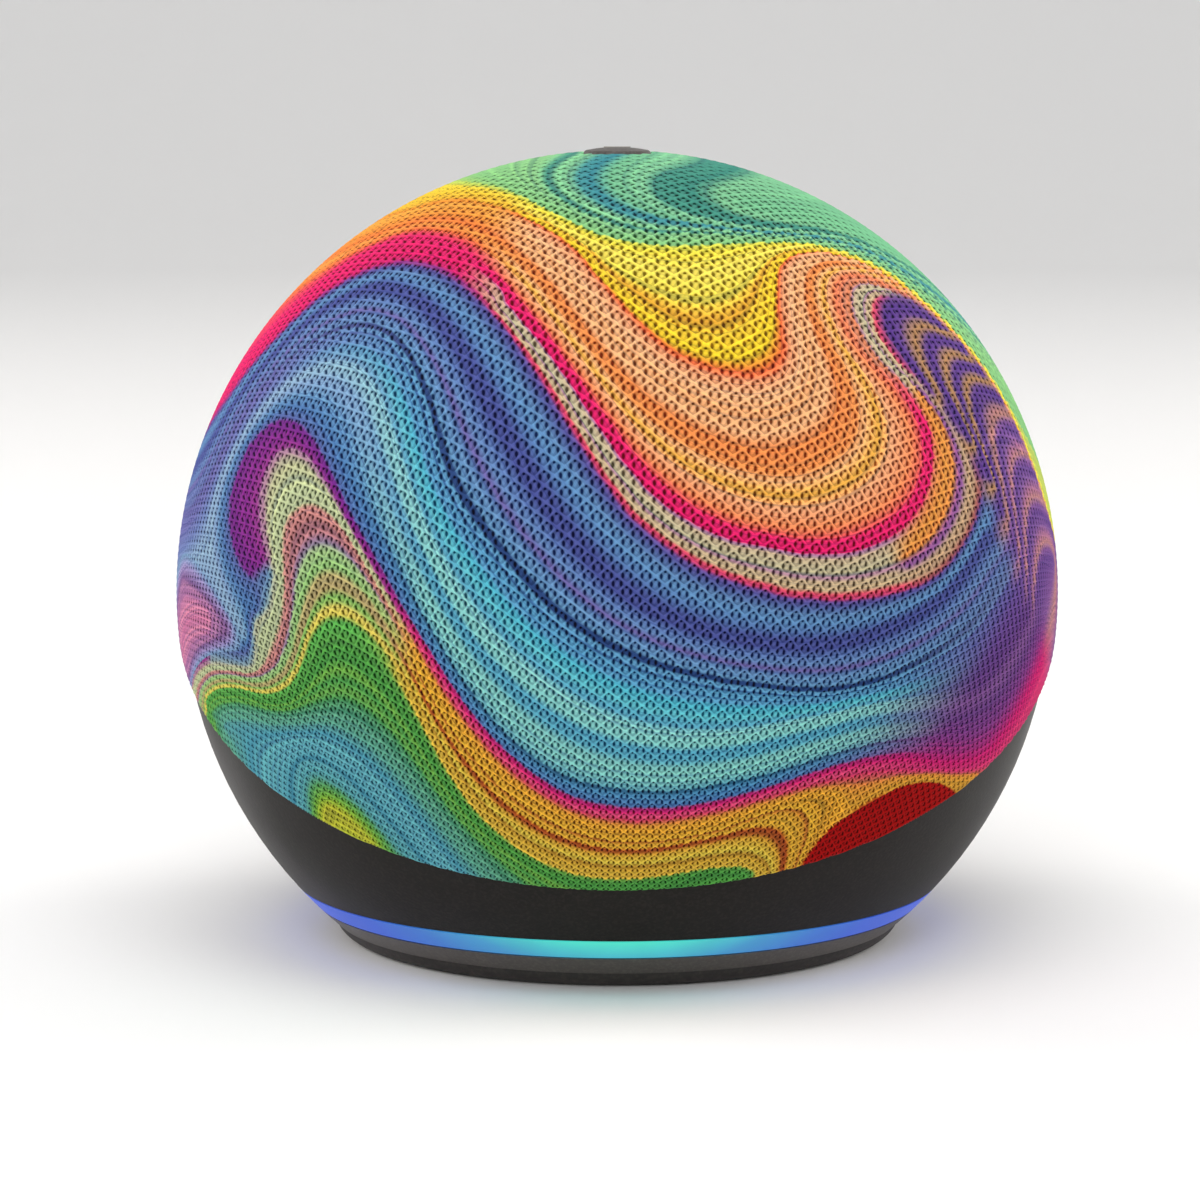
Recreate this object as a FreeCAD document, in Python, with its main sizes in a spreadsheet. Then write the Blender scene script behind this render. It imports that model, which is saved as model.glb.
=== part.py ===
import FreeCAD, Part
import Sketcher
import math
import os

# Smart speaker: a ball of knitted fabric over a rigid grille, standing on a moulded lower
# housing with a light ring and a rubber foot. Millimetres, +Z up, front towards -Y,
# origin at the bottom centre of the foot.

SIZES = {
    # overall
    "ball_radius": 50.0, "base_cut": 11.0, "edge_tilt": 29.0, "edge_offset": 2.2,
    # fabric, grille and lower housing walls
    "fabric_thick": 1.15, "fabric_gap": 0.15, "dome_wall": 1.6, "housing_step": 0.7,
    "housing_wall": 2.0, "parting_gap": 0.3, "skirt_clear": 0.2, "skirt_wall": 1.5,
    "skirt_depth": 3.0, "hole_radius": 2.0, "hole_pitch": 7.0, "hole_margin": 4.0,
    # light ring, base and foot
    "ring_bottom": 4.05, "ring_top": 6.2, "seam_gap": 0.15, "ring_flange": 2.0, "ring_rise": 1.6,
    "ring_clear": 0.3, "guide_thick": 0.6, "led_long": 1.6, "led_wide": 1.2, "led_tall": 0.6,
    "led_count": 24.0, "led_gap": 0.2, "led_board_thick": 1.0, "spigot_wall": 1.6,
    "spigot_clear": 0.2, "foot_thick": 1.8, "foot_round": 2.64, "foot_width": 10.0,
    # screw pillars, main board and its parts
    "pillar_clear": 1.2, "pillar_radius": 3.4, "screw_radius": 1.1, "screw_clear": 0.2,
    "pilot_clear": 0.05, "head_radius": 2.1, "head_tall": 1.2, "screw_long": 17.0,
    "board_bottom": 11.6, "board_thick": 1.2, "board_clear": 0.2, "chip_tall": 1.0,
    "can_long": 18.0, "can_wide": 14.0, "can_tall": 2.6, "pad_tall": 0.8, "pad_inset": 2.0,
    "spreader_thick": 1.2, "spreader_margin": 3.0, "can_spacing": 2.0,
    # sockets at the back
    "port_spacing": 18.0, "port_rise": 4.2, "socket_depth": 12.8,
    "port_clear": 0.2, "dc_width": 9.0, "dc_nose": 4.1, "dc_bore": 2.75, "dc_depth": 10.0,
    "dc_pin": 0.8, "dc_pin_set": 1.0, "audio_width": 7.0, "audio_nose": 3.4, "audio_bore": 1.8,
    "audio_depth": 13.0,
    # buttons: four caps spread evenly round an axis that leans back by the same angle
    "button_spread": 12.7, "cap_radius": 3.8, "cap_proud": 0.35, "cap_clear": 0.25,
    "cap_round": 0.3, "flange_reach": 0.9, "flange_thick": 0.9, "flange_drop": 0.6,
    "plunger_radius": 1.4, "plunger_long": 1.2,
    # control board under the buttons, measured down from the grille's inner face
    "control_drop": 6.4, "control_clear": 0.55, "control_thick": 1.0, "mat_thick": 0.8,
    "key_radius": 3.3, "key_rise": 0.8, "key_cavity": 2.6, "key_roof": 0.6,
    "switch_size": 3.2, "switch_tall": 0.8, "mic_long": 3.5, "mic_wide": 2.65, "mic_tall": 1.0,
    "mic_circle": 10.0, "frame_clear": 0.2, "frame_wall": 3.0, "frame_ledge": 1.4,
    "frame_foot": 1.2, "frame_top": 1.3, "frame_boss": 2.0, "frame_screw": 0.8,
    "frame_head": 1.4, "frame_screw_long": 5.2,
    # speaker enclosure
    "enclosure_clear": 1.2, "enclosure_wall": 1.8, "floor_height": 23.5, "roof_clear": 0.4,
    "baffle_clear": 0.7, "split_place": 4.0, "seal_thick": 0.8, "driver_rise": 8.5,
    "flex_thick": 0.3, "flex_width": 7.0, "flex_clear": 0.3, "flex_reach": 14.0,
    "antenna_long": 22.0, "antenna_wide": 6.0, "antenna_thick": 0.3, "antenna_space": 16.0,
    # driver, measured along its axis towards the front
    "flange_radius": 22.5, "basket_flange": 1.5, "gasket_thick": 0.7, "gasket_width": 3.4,
    "basket_throat": 17.4, "basket_wall": 1.1, "basket_neck": 10.8, "basket_floor": 1.2,
    "motor_radius": 13.0, "plate_thick": 3.0, "magnet_thick": 4.0, "yoke_thick": 2.0,
    "motor_drop": 15.0, "pole_radius": 4.3, "coil_gap": 0.4, "coil_wall": 0.6,
    "coil_drop": 11.2, "coil_long": 8.7, "cone_radius": 15.2, "cone_drop": 0.5,
    "cone_thick": 0.6, "cap_chord": 5.6, "cap_rise": 1.8, "cap_drop": 9.2, "cap_wall": 0.4,
    "roll_gap": 0.35, "roll_radius": 1.4, "roll_wall": 0.4, "roll_land": 0.4,
    "spider_drop": 12.9, "spider_thick": 0.6, "driver_screw": 0.9, "driver_screw_circle": 20.5,
    "driver_head": 1.6, "driver_head_tall": 1.0, "driver_screw_long": 5.5,
    "window_width": 7.0, "lead_radius": 0.5, "lead_spacing": 6.0, "lead_clear": 0.2,
}

doc = FreeCAD.newDocument("smart_speaker")
sheet = doc.addObject("Spreadsheet::Sheet", "Sizes")
for row, (alias, number) in enumerate(SIZES.items(), start=1):
    sheet.set("A%d" % row, alias)
    sheet.set("B%d" % row, str(number))
    sheet.setAlias("B%d" % row, alias)
doc.recompute()


class Dim:
    """A size that carries both its value and the sheet expression that gives it."""

    def __init__(self, value, text):
        self.value = float(value)
        self.text = text

    def __add__(self, other):
        other = as_dim(other)
        return Dim(self.value + other.value, "(%s + %s)" % (self.text, other.text))

    def __sub__(self, other):
        other = as_dim(other)
        return Dim(self.value - other.value, "(%s - %s)" % (self.text, other.text))

    def __mul__(self, other):
        other = as_dim(other)
        return Dim(self.value * other.value, "(%s * %s)" % (self.text, other.text))

    def __truediv__(self, other):
        other = as_dim(other)
        return Dim(self.value / other.value, "(%s / %s)" % (self.text, other.text))

    def __neg__(self):
        return Dim(-self.value, "(0 - %s)" % self.text)


def as_dim(number):
    return number if isinstance(number, Dim) else Dim(number, repr(float(number)))


def root(dim):
    return Dim(math.sqrt(dim.value), "sqrt(%s)" % dim.text)


def leg(long_side, side):
    """The third side of a right triangle: a ball's radius at a given height, for one."""
    return root(as_dim(long_side) * long_side - as_dim(side) * side)


class Sheet:
    """Sizes read from the sheet by their alias."""

    def __getattr__(self, alias):
        return Dim(sheet.get(alias), "Sizes." + alias)


s = Sheet()
nodes = []


def bind(target, prop, dim):
    """Set a size and tie it to the sheet."""
    dim = as_dim(dim)
    if not prop.startswith("Placement") and not prop.startswith("Attachment"):
        setattr(target, prop, dim.value)
    target.setExpression(prop, dim.text)


def put(target, x=0, y=0, z=0, turn=None):
    """Place an object: its turn first, then its position tied to the sheet."""
    places = [as_dim(side) for side in (x, y, z)]
    base = FreeCAD.Vector(*[side.value for side in places])
    target.Placement = FreeCAD.Placement(base, turn or FreeCAD.Rotation())
    for name, side in zip("xyz", places):
        if side.value:
            target.setExpression("Placement.Base." + name, side.text)
    return target


def about_x(angle):
    return FreeCAD.Rotation(FreeCAD.Vector(1, 0, 0), angle)


def about_z(angle):
    return FreeCAD.Rotation(FreeCAD.Vector(0, 0, 1), angle)


FORWARD = about_x(90)
BACKWARD = about_x(-90)
EDGE_TURN = about_x(s.edge_tilt.value)
CLUSTER_TURN = about_x(-s.button_spread.value)
BUTTONS = {"volume_down_cap": 0, "action_cap": 90, "volume_up_cap": 180, "microphone_cap": 270}
QUARTERS = (45, 135, 225, 315)

centre_height = s.ball_radius - s.base_cut
housing_outer = s.ball_radius - s.housing_step
housing_inner = housing_outer - s.housing_wall
dome_outer = s.ball_radius - s.fabric_thick - s.fabric_gap
dome_inner = dome_outer - s.dome_wall
skirt_outer = housing_inner - s.skirt_clear
skirt_inner = skirt_outer - s.skirt_wall
lean_sine = Dim(math.sin(math.radians(s.button_spread.value)), "sin(Sizes.button_spread)")
lean_cosine = Dim(math.cos(math.radians(s.button_spread.value)), "cos(Sizes.button_spread)")
cap_flange = s.cap_radius + s.flange_reach
control_radius = dome_inner * lean_sine + cap_flange + s.control_clear


def ball_at(radius, height):
    """Radius of a ball of the given radius where it stands at a height above the floor."""
    return leg(radius, centre_height - height)


def keep(obj):
    nodes.append(obj)
    return obj


def part(kind, label, **sizes):
    obj = doc.addObject("Part::" + kind, label)
    obj.Label = label
    for prop, dim in sizes.items():
        bind(obj, prop, dim)
    return obj


def cylinder(label, radius, height, x=0, y=0, z=0, turn=None):
    return put(part("Cylinder", label, Radius=radius, Height=height), x, y, z, turn)


def block(label, long, wide, tall, x=0, y=0, z=0, turn=None):
    """A box whose x and y give the middle of its floor."""
    obj = part("Box", label, Length=long, Width=wide, Height=tall)
    return put(obj, as_dim(x) - long / 2, as_dim(y) - wide / 2, z, turn)


def boolean(kind, label, shapes):
    obj = part(kind, label)
    obj.Shapes = shapes
    return obj


def fuse(label, shapes):
    return boolean("MultiFuse", label, shapes)


def common(label, shapes):
    return boolean("MultiCommon", label, shapes)


def group(label, shapes):
    obj = part("Compound", label)
    obj.Links = shapes
    return obj


def cut(label, base, tools):
    obj = part("Cut", label)
    obj.Base = base
    obj.Tool = tools[0] if len(tools) == 1 else group(label + "_cutters", tools)
    return obj


def new_body(label, x=0, y=0, z=0, turn=None):
    body = doc.addObject("PartDesign::Body", label)
    body.Label = label
    body.AllowCompound = True
    return put(body, x, y, z, turn)


def new_sketch(body, name, role, height=None):
    plane = next(item for item in body.Origin.OriginFeatures if item.Role == role)
    sketch = body.newObject("Sketcher::SketchObject", name)
    sketch.AttachmentSupport = (plane, "")
    sketch.MapMode = "FlatFace"
    if height is not None:
        sketch.AttachmentOffset = FreeCAD.Placement(FreeCAD.Vector(0, 0, height.value),
                                                    FreeCAD.Rotation())
        sketch.setExpression("AttachmentOffset.Base.z", height.text)
    return sketch


def pin_point(sketch, edge, end, point):
    """Hold a sketch point at a place that is tied to the sheet."""
    for dim, kind, axis in ((point[0], "DistanceX", -2), (point[1], "DistanceY", -1)):
        dim = as_dim(dim)
        if abs(dim.value) < 1e-9:
            sketch.addConstraint(Sketcher.Constraint("PointOnObject", edge, end, axis))
            continue
        index = sketch.addConstraint(Sketcher.Constraint(kind, -1, 1, edge, end, dim.value))
        sketch.setExpression("Constraints[%d]" % index, dim.text)


def vector(point):
    return FreeCAD.Vector(as_dim(point[0]).value, as_dim(point[1]).value, 0)


def outline(sketch, points):
    """Draw a closed outline. A point is (x, y), or (x, y, radius, centre) where an arc starts."""
    ends = []
    for index, point in enumerate(points):
        start = vector(point)
        stop = vector(points[(index + 1) % len(points)])
        if len(point) == 2:
            edge = sketch.addGeometry(Part.LineSegment(start, stop))
            ends.append((edge, 1, 2))
            continue
        radius = as_dim(point[2])
        centre = vector(point[3])
        middle = (start + stop) / 2 - centre
        through = centre + middle * (radius.value / middle.Length)
        edge = sketch.addGeometry(Part.Arc(start, through, stop))
        forward = sketch.getPoint(edge, 1).distanceToPoint(start) < 1e-6
        ends.append((edge, 1, 2) if forward else (edge, 2, 1))
        bound = sketch.addConstraint(Sketcher.Constraint("Radius", edge, radius.value))
        sketch.setExpression("Constraints[%d]" % bound, radius.text)
    for index, point in enumerate(points):
        edge, first, _ = ends[index]
        last_edge, _, last = ends[index - 1]
        sketch.addConstraint(Sketcher.Constraint("Coincident", last_edge, last, edge, first))
        pin_point(sketch, edge, first, point)
    return sketch


def circle(sketch, x, y, radius):
    centre = vector((x, y))
    edge = sketch.addGeometry(Part.Circle(centre, FreeCAD.Vector(0, 0, 1), as_dim(radius).value))
    bound = sketch.addConstraint(Sketcher.Constraint("Radius", edge, as_dim(radius).value))
    sketch.setExpression("Constraints[%d]" % bound, as_dim(radius).text)
    pin_point(sketch, edge, 3, (x, y))
    return sketch


def spin(label, points, **place):
    """A body turned about its own upright axis from a closed outline."""
    body = new_body(label, **place)
    sketch = outline(new_sketch(body, label + "_outline", "XZ_Plane"), points)
    feature = body.newObject("PartDesign::Revolution", label + "_turned")
    feature.Profile = sketch
    feature.ReferenceAxis = (sketch, ["V_Axis"])
    feature.Angle = 360.0
    return body


def pad(body, sketch, height, name):
    feature = body.newObject("PartDesign::Pad", name)
    feature.Profile = sketch
    bind(feature, "Length", height)
    return feature


def pocket_down(body, sketch, depth, name):
    """Cut downwards from the sketch's plane."""
    feature = body.newObject("PartDesign::Pocket", name)
    feature.Profile = sketch
    bind(feature, "Length", depth)
    return feature


def ring_of(body, feature, sketch, count, name):
    """Repeat a feature evenly round the body's upright axis."""
    pattern = body.newObject("PartDesign::PolarPattern", name)
    pattern.Originals = [feature]
    pattern.Axis = (sketch, ["N_Axis"])
    pattern.Angle = 360.0
    pattern.Occurrences = int(count)
    body.Tip = pattern
    return pattern


def rectangle(sketch, x, y, long, wide):
    """A rectangle about a middle point."""
    low_x = as_dim(x) - long / 2
    high_x = as_dim(x) + long / 2
    low_y = as_dim(y) - wide / 2
    high_y = as_dim(y) + wide / 2
    return outline(sketch, [(low_x, low_y), (high_x, low_y), (high_x, high_y), (low_x, high_y)])


def round_edge(body, height, radius, name):
    """Fillet the widest round edge of a body at one height."""
    doc.recompute()
    tip = body.Tip
    found = [(edge.Curve.Radius, "Edge%d" % index)
             for index, edge in enumerate(tip.Shape.Edges, start=1)
             if hasattr(edge.Curve, "Radius")
             and abs(edge.Curve.Center.z - height.value) < 1e-4]
    feature = body.newObject("PartDesign::Fillet", name)
    feature.Base = (tip, [max(found)[1]])
    bind(feature, "Radius", radius)
    return feature


def chips_in_ring(label, circle_radius, long, wide, tall, count, **place):
    """Identical small blocks standing in a ring, as one node."""
    body = new_body(label, **place)
    sketch = new_sketch(body, label + "_outline", "XY_Plane")
    rectangle(sketch, circle_radius, 0, wide, long)
    feature = pad(body, sketch, tall, label + "_block")
    ring_of(body, feature, sketch, count, label + "_ring")
    return body


def level(height):
    """A place along an axis that starts at the ball's centre, as x, y, z in the part's frame."""
    return {"y": height * lean_sine, "z": centre_height + height * lean_cosine,
            "turn": CLUSTER_TURN}


# ---- fabric sleeve and grille ----------------------------------------------------------------

def button_turn(azimuth):
    spread = about_x(s.button_spread.value)
    return CLUSTER_TURN.multiply(about_z(azimuth)).multiply(spread)


def button_bores(label):
    """Clearance bores for the four caps."""
    return [cylinder("%s_bore_%d" % (label, azimuth), s.cap_radius + s.cap_clear,
                     s.ball_radius * 1.2, z=centre_height, turn=button_turn(azimuth))
            for azimuth in BUTTONS.values()]


def fabric_sleeve():
    inner = s.ball_radius - s.fabric_thick
    low = -s.edge_offset
    shell = spin("sleeve_shell", [
        (leg(s.ball_radius, low), low, s.ball_radius, (0, 0)),
        (0, s.ball_radius),
        (0, inner, inner, (0, 0)),
        (leg(inner, low), low),
    ], z=centre_height, turn=EDGE_TURN)
    return keep(cut("fabric_sleeve", shell, button_bores("sleeve")))


def perforations():
    """Bores through the grille in even rows, clear of its rim and of the button cluster."""
    radius = dome_inner.value
    pitch = s.hole_pitch.value
    cluster = CLUSTER_TURN.multVec(FreeCAD.Vector(0, 0, 1))
    clear_reach = (control_radius + s.frame_wall + s.frame_boss + s.hole_margin).value
    low_angle = math.pi / 2 + math.asin((s.edge_offset - s.hole_margin).value / radius)
    rows = int(low_angle * radius / pitch)
    bores = []
    for row in range(1, rows):
        lean = row * pitch / radius
        count = int(2 * math.pi * math.sin(lean) * radius / pitch)
        for step in range(count):
            turn = EDGE_TURN.multiply(about_z(360.0 * step / count))
            turn = turn.multiply(about_x(math.degrees(lean)))
            direction = turn.multVec(FreeCAD.Vector(0, 0, 1))
            if radius * direction.getAngle(cluster) < clear_reach:
                continue
            bores.append(Part.makeCylinder(s.hole_radius.value, 3 * s.dome_wall.value,
                                           direction * (radius - s.dome_wall.value), direction))
    tool = doc.addObject("Part::Feature", "grille_perforations")
    tool.Shape = Part.makeCompound(bores)
    return put(tool, z=centre_height)


def grille_dome():
    seat = -s.edge_offset
    top = seat + s.skirt_depth
    foot = seat - s.skirt_depth
    shell = spin("grille_shell", [
        (leg(dome_outer, seat), seat, dome_outer, (0, 0)),
        (0, dome_outer),
        (0, dome_inner, dome_inner, (0, 0)),
        (leg(dome_inner, top), top),
        (leg(skirt_inner, top), top, skirt_inner, (0, 0)),
        (leg(skirt_inner, foot), foot),
        (leg(skirt_outer, foot), foot, skirt_outer, (0, 0)),
        (leg(skirt_outer, seat), seat),
    ], z=centre_height, turn=EDGE_TURN)
    boss_top = leg(dome_outer, screw_circle + s.frame_boss) - s.seam_gap
    bosses = []
    pilots = []
    for azimuth in QUARTERS:
        bosses.append(in_cluster(cylinder("grille_boss_%d" % azimuth, s.frame_boss,
                                          boss_top - frame_top), frame_top, azimuth))
        pilots.append(in_cluster(cylinder("grille_pilot_%d" % azimuth,
                                          s.frame_screw + s.pilot_clear,
                                          s.frame_screw_long), frame_bottom, azimuth))
    body = fuse("grille_with_bosses", [shell] + bosses)
    return keep(cut("grille_dome", body, button_bores("grille") + pilots + [perforations()]))


# ---- button cluster ---------------------------------------------------------------------------

board_top = dome_inner - s.control_drop
board_low = board_top - s.control_thick
mat_top = board_top + s.mat_thick
key_circle = (mat_top + s.key_rise) * lean_sine / lean_cosine
frame_bottom = board_low - s.frame_foot
frame_top = mat_top + s.frame_top - s.mat_thick
screw_circle = control_radius + s.frame_clear + s.frame_wall / 2


def in_cluster(obj, height, azimuth, circle_radius=None):
    """Stand a piece on the cluster's screw circle at an azimuth."""
    reach = circle_radius or screw_circle
    turn = CLUSTER_TURN
    angle = math.radians(azimuth)
    local = FreeCAD.Vector(reach.value * math.cos(angle), reach.value * math.sin(angle),
                           height.value)
    place = turn.multVec(local)
    obj.Placement = FreeCAD.Placement(place + FreeCAD.Vector(0, 0, centre_height.value), turn)
    return obj


def button_caps():
    top = s.ball_radius + s.cap_proud
    flange = cap_flange
    flange_top = leg(dome_inner, flange) - s.flange_drop / 2
    flange_low = flange_top - s.flange_thick
    tip = flange_low - s.plunger_long
    for label, azimuth in BUTTONS.items():
        body = spin(label, [
            (0, top), (s.cap_radius, top), (s.cap_radius, flange_top), (flange, flange_top),
            (flange, flange_low), (s.plunger_radius, flange_low), (s.plunger_radius, tip),
            (0, tip),
        ], z=centre_height, turn=button_turn(azimuth))
        round_edge(body, top, s.cap_round, label + "_rounding")
        keep(body)


def button_frame():
    inner = control_radius + s.frame_clear
    outer = inner + s.frame_wall
    ledge = control_radius - s.frame_ledge
    ring = spin("button_frame_ring", [
        (ledge, frame_bottom), (outer, frame_bottom), (outer, frame_top), (inner, frame_top),
        (inner, board_low), (ledge, board_low),
    ], z=centre_height, turn=CLUSTER_TURN)
    bores = [in_cluster(cylinder("frame_bore_%d" % azimuth, s.frame_screw + s.screw_clear,
                                 s.control_drop), frame_bottom, azimuth)
             for azimuth in QUARTERS]
    keep(cut("button_frame", ring, bores))
    screws = []
    for azimuth in QUARTERS:
        head = in_cluster(cylinder("frame_head_%d" % azimuth, s.frame_head, s.head_tall),
                          frame_bottom - s.head_tall, azimuth)
        shank = in_cluster(cylinder("frame_shank_%d" % azimuth, s.frame_screw,
                                    s.frame_screw_long), frame_bottom, azimuth)
        screws.append(fuse("frame_screw_%d" % azimuth, [head, shank]))
    keep(group("frame_screws", screws))


def key_mat():
    body = new_body("key_mat", **level(board_top))
    sheet_sketch = circle(new_sketch(body, "mat_outline", "XY_Plane"), 0, 0, control_radius)
    pad(body, sheet_sketch, s.mat_thick, "mat_sheet")
    dome_sketch = circle(new_sketch(body, "key_outline", "XY_Plane"), key_circle, 0,
                         s.key_radius)
    key = pad(body, dome_sketch, s.mat_thick + s.key_rise, "mat_key")
    ring_of(body, key, dome_sketch, 4, "mat_keys")
    inside = s.mat_thick + s.key_rise - s.key_roof
    hollow = circle(new_sketch(body, "key_hollow", "XY_Plane", inside), key_circle, 0,
                    s.key_cavity)
    cavity = pocket_down(body, hollow, inside, "mat_cavity")
    ring_of(body, cavity, hollow, 4, "mat_cavities")
    keep(body)


def control_board():
    body = new_body("control_board", **level(board_low))
    sketch = circle(new_sketch(body, "control_outline", "XY_Plane"), 0, 0, control_radius)
    pad(body, sketch, s.control_thick, "control_plate")
    keep(body)
    keep(chips_in_ring("tact_switches", key_circle, s.switch_size, s.switch_size,
                       s.switch_tall, 4, **level(board_top)))
    place = level(board_low - s.mic_tall)
    place["turn"] = CLUSTER_TURN.multiply(about_z(45))
    keep(chips_in_ring("microphones", s.mic_circle, s.mic_long, s.mic_wide, s.mic_tall, 4,
                       **place))


# ---- lower housing, light ring, base and foot --------------------------------------------------

housing_low = s.ring_top + s.seam_gap
ring_out = ball_at(housing_inner, housing_low) - s.ring_clear
ring_in = ring_out - s.ring_flange
flange_top = s.ring_top + s.ring_rise
spigot_out = ring_in - s.spigot_clear
spigot_in = spigot_out - s.spigot_wall
led_seat = flange_top + s.guide_thick + s.led_gap + s.led_tall
base_top = s.ring_bottom - s.seam_gap
foot_out = ball_at(housing_outer, s.foot_thick)
centre_point = (0, centre_height)
main_top = s.board_bottom + s.board_thick
port_height = main_top + s.port_rise
port_side = (s.port_spacing + s.dc_width) / 2
port_wall = leg(ball_at(housing_inner, main_top), port_side) - s.port_clear * 3
nose_low = port_height - s.dc_nose
nose_end = leg(ball_at(housing_outer, nose_low), s.port_spacing / 2)


def port_bore(label, x, radius):
    return cylinder(label, radius + s.port_clear, s.ball_radius, x=x, y=port_wall,
                    z=port_height, turn=BACKWARD)


def lower_housing():
    top = centre_height + s.ball_radius * 0.6
    shell = spin("housing_shell", [
        (ball_at(housing_outer, housing_low), housing_low, housing_outer, centre_point),
        (ball_at(housing_outer, top), top),
        (ball_at(housing_inner, top), top, housing_inner, centre_point),
        (ball_at(housing_inner, housing_low), housing_low),
    ])
    size = s.ball_radius * 4
    cover = part("Box", "housing_trim", Length=size, Width=size, Height=size)
    half = size.value / 2
    low = -(s.edge_offset + s.parting_gap).value
    corner = EDGE_TURN.multVec(FreeCAD.Vector(-half, -half, low))
    corner.z += centre_height.value
    cover.Placement = FreeCAD.Placement(corner, EDGE_TURN)
    bores = [port_bore("housing_dc_bore", -(s.port_spacing / 2), s.dc_nose),
             port_bore("housing_audio_bore", s.port_spacing / 2, s.audio_nose)]
    keep(cut("lower_housing", shell, [cover] + bores))


def light_parts():
    keep(spin("light_ring", [
        (ring_in, s.ring_bottom),
        (ball_at(housing_outer, s.ring_bottom), s.ring_bottom, housing_outer, centre_point),
        (ball_at(housing_outer, s.ring_top), s.ring_top),
        (ring_out, s.ring_top), (ring_out, flange_top), (ring_in, flange_top),
    ]))
    keep(spin("light_guide", [
        (ring_in, flange_top), (ring_out, flange_top), (ring_out, flange_top + s.guide_thick),
        (ring_in, flange_top + s.guide_thick),
    ]))
    keep(spin("led_board", [
        (spigot_in, led_seat), (ring_out, led_seat), (ring_out, led_seat + s.led_board_thick),
        (spigot_in, led_seat + s.led_board_thick),
    ]))
    keep(chips_in_ring("led_chips", (ring_in + ring_out) / 2, s.led_long, s.led_wide,
                       s.led_tall, s.led_count.value, z=led_seat - s.led_tall))


def pillar_places():
    reach = (spigot_in - s.pillar_radius - s.pillar_clear) * math.sqrt(0.5)
    return [(reach * sx, reach * sy) for sx in (1, -1) for sy in (1, -1)]


def pillar_bits(label, radius, low, high):
    """One upright cylinder at each pillar."""
    return [cylinder("%s_%d" % (label, index), radius, high - low, x=x, y=y, z=low)
            for index, (x, y) in enumerate(pillar_places())]


def base_and_foot():
    plate = spin("base_disc", [
        (0, s.foot_thick), (foot_out, s.foot_thick, housing_outer, centre_point),
        (ball_at(housing_outer, base_top), base_top), (spigot_out, base_top),
        (spigot_out, led_seat), (spigot_in, led_seat), (spigot_in, base_top), (0, base_top),
    ])
    bosses = pillar_bits("base_boss", s.pillar_radius, s.foot_thick, s.board_bottom)
    bores = pillar_bits("base_bore", s.screw_radius + s.screw_clear, as_dim(0), s.board_bottom * 2)
    seat_top = s.foot_thick + s.head_tall
    seats = pillar_bits("base_seat", s.head_radius + s.screw_clear, as_dim(0), seat_top)
    keep(cut("base_plate", fuse("base_with_bosses", [plate] + bosses), bores + seats))
    heads = pillar_bits("base_head", s.head_radius, s.foot_thick, seat_top)
    shanks = pillar_bits("base_shank", s.screw_radius, s.foot_thick, seat_top + s.screw_long)
    keep(group("base_screws", [fuse("base_screw_%d" % index, list(pair))
                               for index, pair in enumerate(zip(heads, shanks))]))
    run = leg(s.foot_round, s.foot_round - s.foot_thick)
    low = foot_out - run
    keep(spin("rubber_foot", [
        (low - s.foot_width, 0), (low, 0, s.foot_round, (low, s.foot_round)),
        (foot_out, s.foot_thick), (low - s.foot_width, s.foot_thick),
    ]))


# ---- main board and sockets ---------------------------------------------------------------------

def main_board():
    radius = ball_at(skirt_inner, s.board_bottom) - s.board_clear
    disc = cylinder("main_board_disc", radius, s.board_thick, z=s.board_bottom)
    bores = pillar_bits("main_bore", s.screw_radius + s.screw_clear, as_dim(0), s.ball_radius)
    keep(cut("main_board", disc, bores))
    offset = (s.can_long + s.can_spacing) / 2
    cans = []
    pads = []
    can_top = main_top + s.can_tall
    for side in (-1, 1):
        name = "left" if side < 0 else "right"
        cans.append(block("can_" + name, s.can_long, s.can_wide, s.can_tall, x=offset * side,
                          z=main_top))
        pads.append(block("pad_" + name, s.can_long - s.pad_inset, s.can_wide - s.pad_inset,
                          s.pad_tall, x=offset * side, z=can_top))
    keep(group("shield_cans", cans))
    keep(group("thermal_pads", pads))
    spread_long = s.can_long * 2 + s.can_spacing + s.spreader_margin
    keep(block("heat_spreader", spread_long, s.can_wide + s.spreader_margin, s.spreader_thick,
               z=can_top + s.pad_tall))
    chips = [block("chip_%d" % index, s.can_wide / (2 + index), s.can_wide / 2, s.chip_tall,
                   x=s.can_wide * (index - 1), y=s.can_wide * (0.4 * index - 0.5),
                   z=s.board_bottom - s.chip_tall)
             for index in range(3)]
    keep(group("board_chips", chips))


def socket_shell(label, x, width, low, nose, bore, depth):
    """A socket's block on the main board, with a round nose and a blind bore facing back."""
    tall = port_height + width / 2 - low
    box = block(label + "_block", width, s.socket_depth, tall, x=x,
                y=port_wall - s.socket_depth / 2, z=low)
    inside = port_wall - s.port_clear
    front = cylinder(label + "_nose", nose, nose_end - inside, x=x, y=inside, z=port_height,
                     turn=BACKWARD)
    hole = cylinder(label + "_hole", bore, depth * 2, x=x, y=nose_end - depth, z=port_height,
                    turn=BACKWARD)
    return cut(label + "_shell", fuse(label + "_solid", [box, front]), [hole])


def sockets():
    dc_x = -(s.port_spacing / 2)
    shell = socket_shell("dc", dc_x, s.dc_width, main_top, s.dc_nose, s.dc_bore, s.dc_depth)
    pin = cylinder("dc_pin_post", s.dc_pin, s.dc_depth, x=dc_x,
                   y=nose_end - s.dc_depth - s.dc_pin_set, z=port_height, turn=BACKWARD)
    keep(fuse("dc_inlet", [shell, pin]))
    audio = socket_shell("audio", s.port_spacing / 2, s.audio_width, main_top, s.audio_nose,
                         s.audio_bore, s.audio_depth)
    audio.Label = "audio_socket"
    keep(audio)


# ---- speaker enclosure ----------------------------------------------------------------------------

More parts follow.
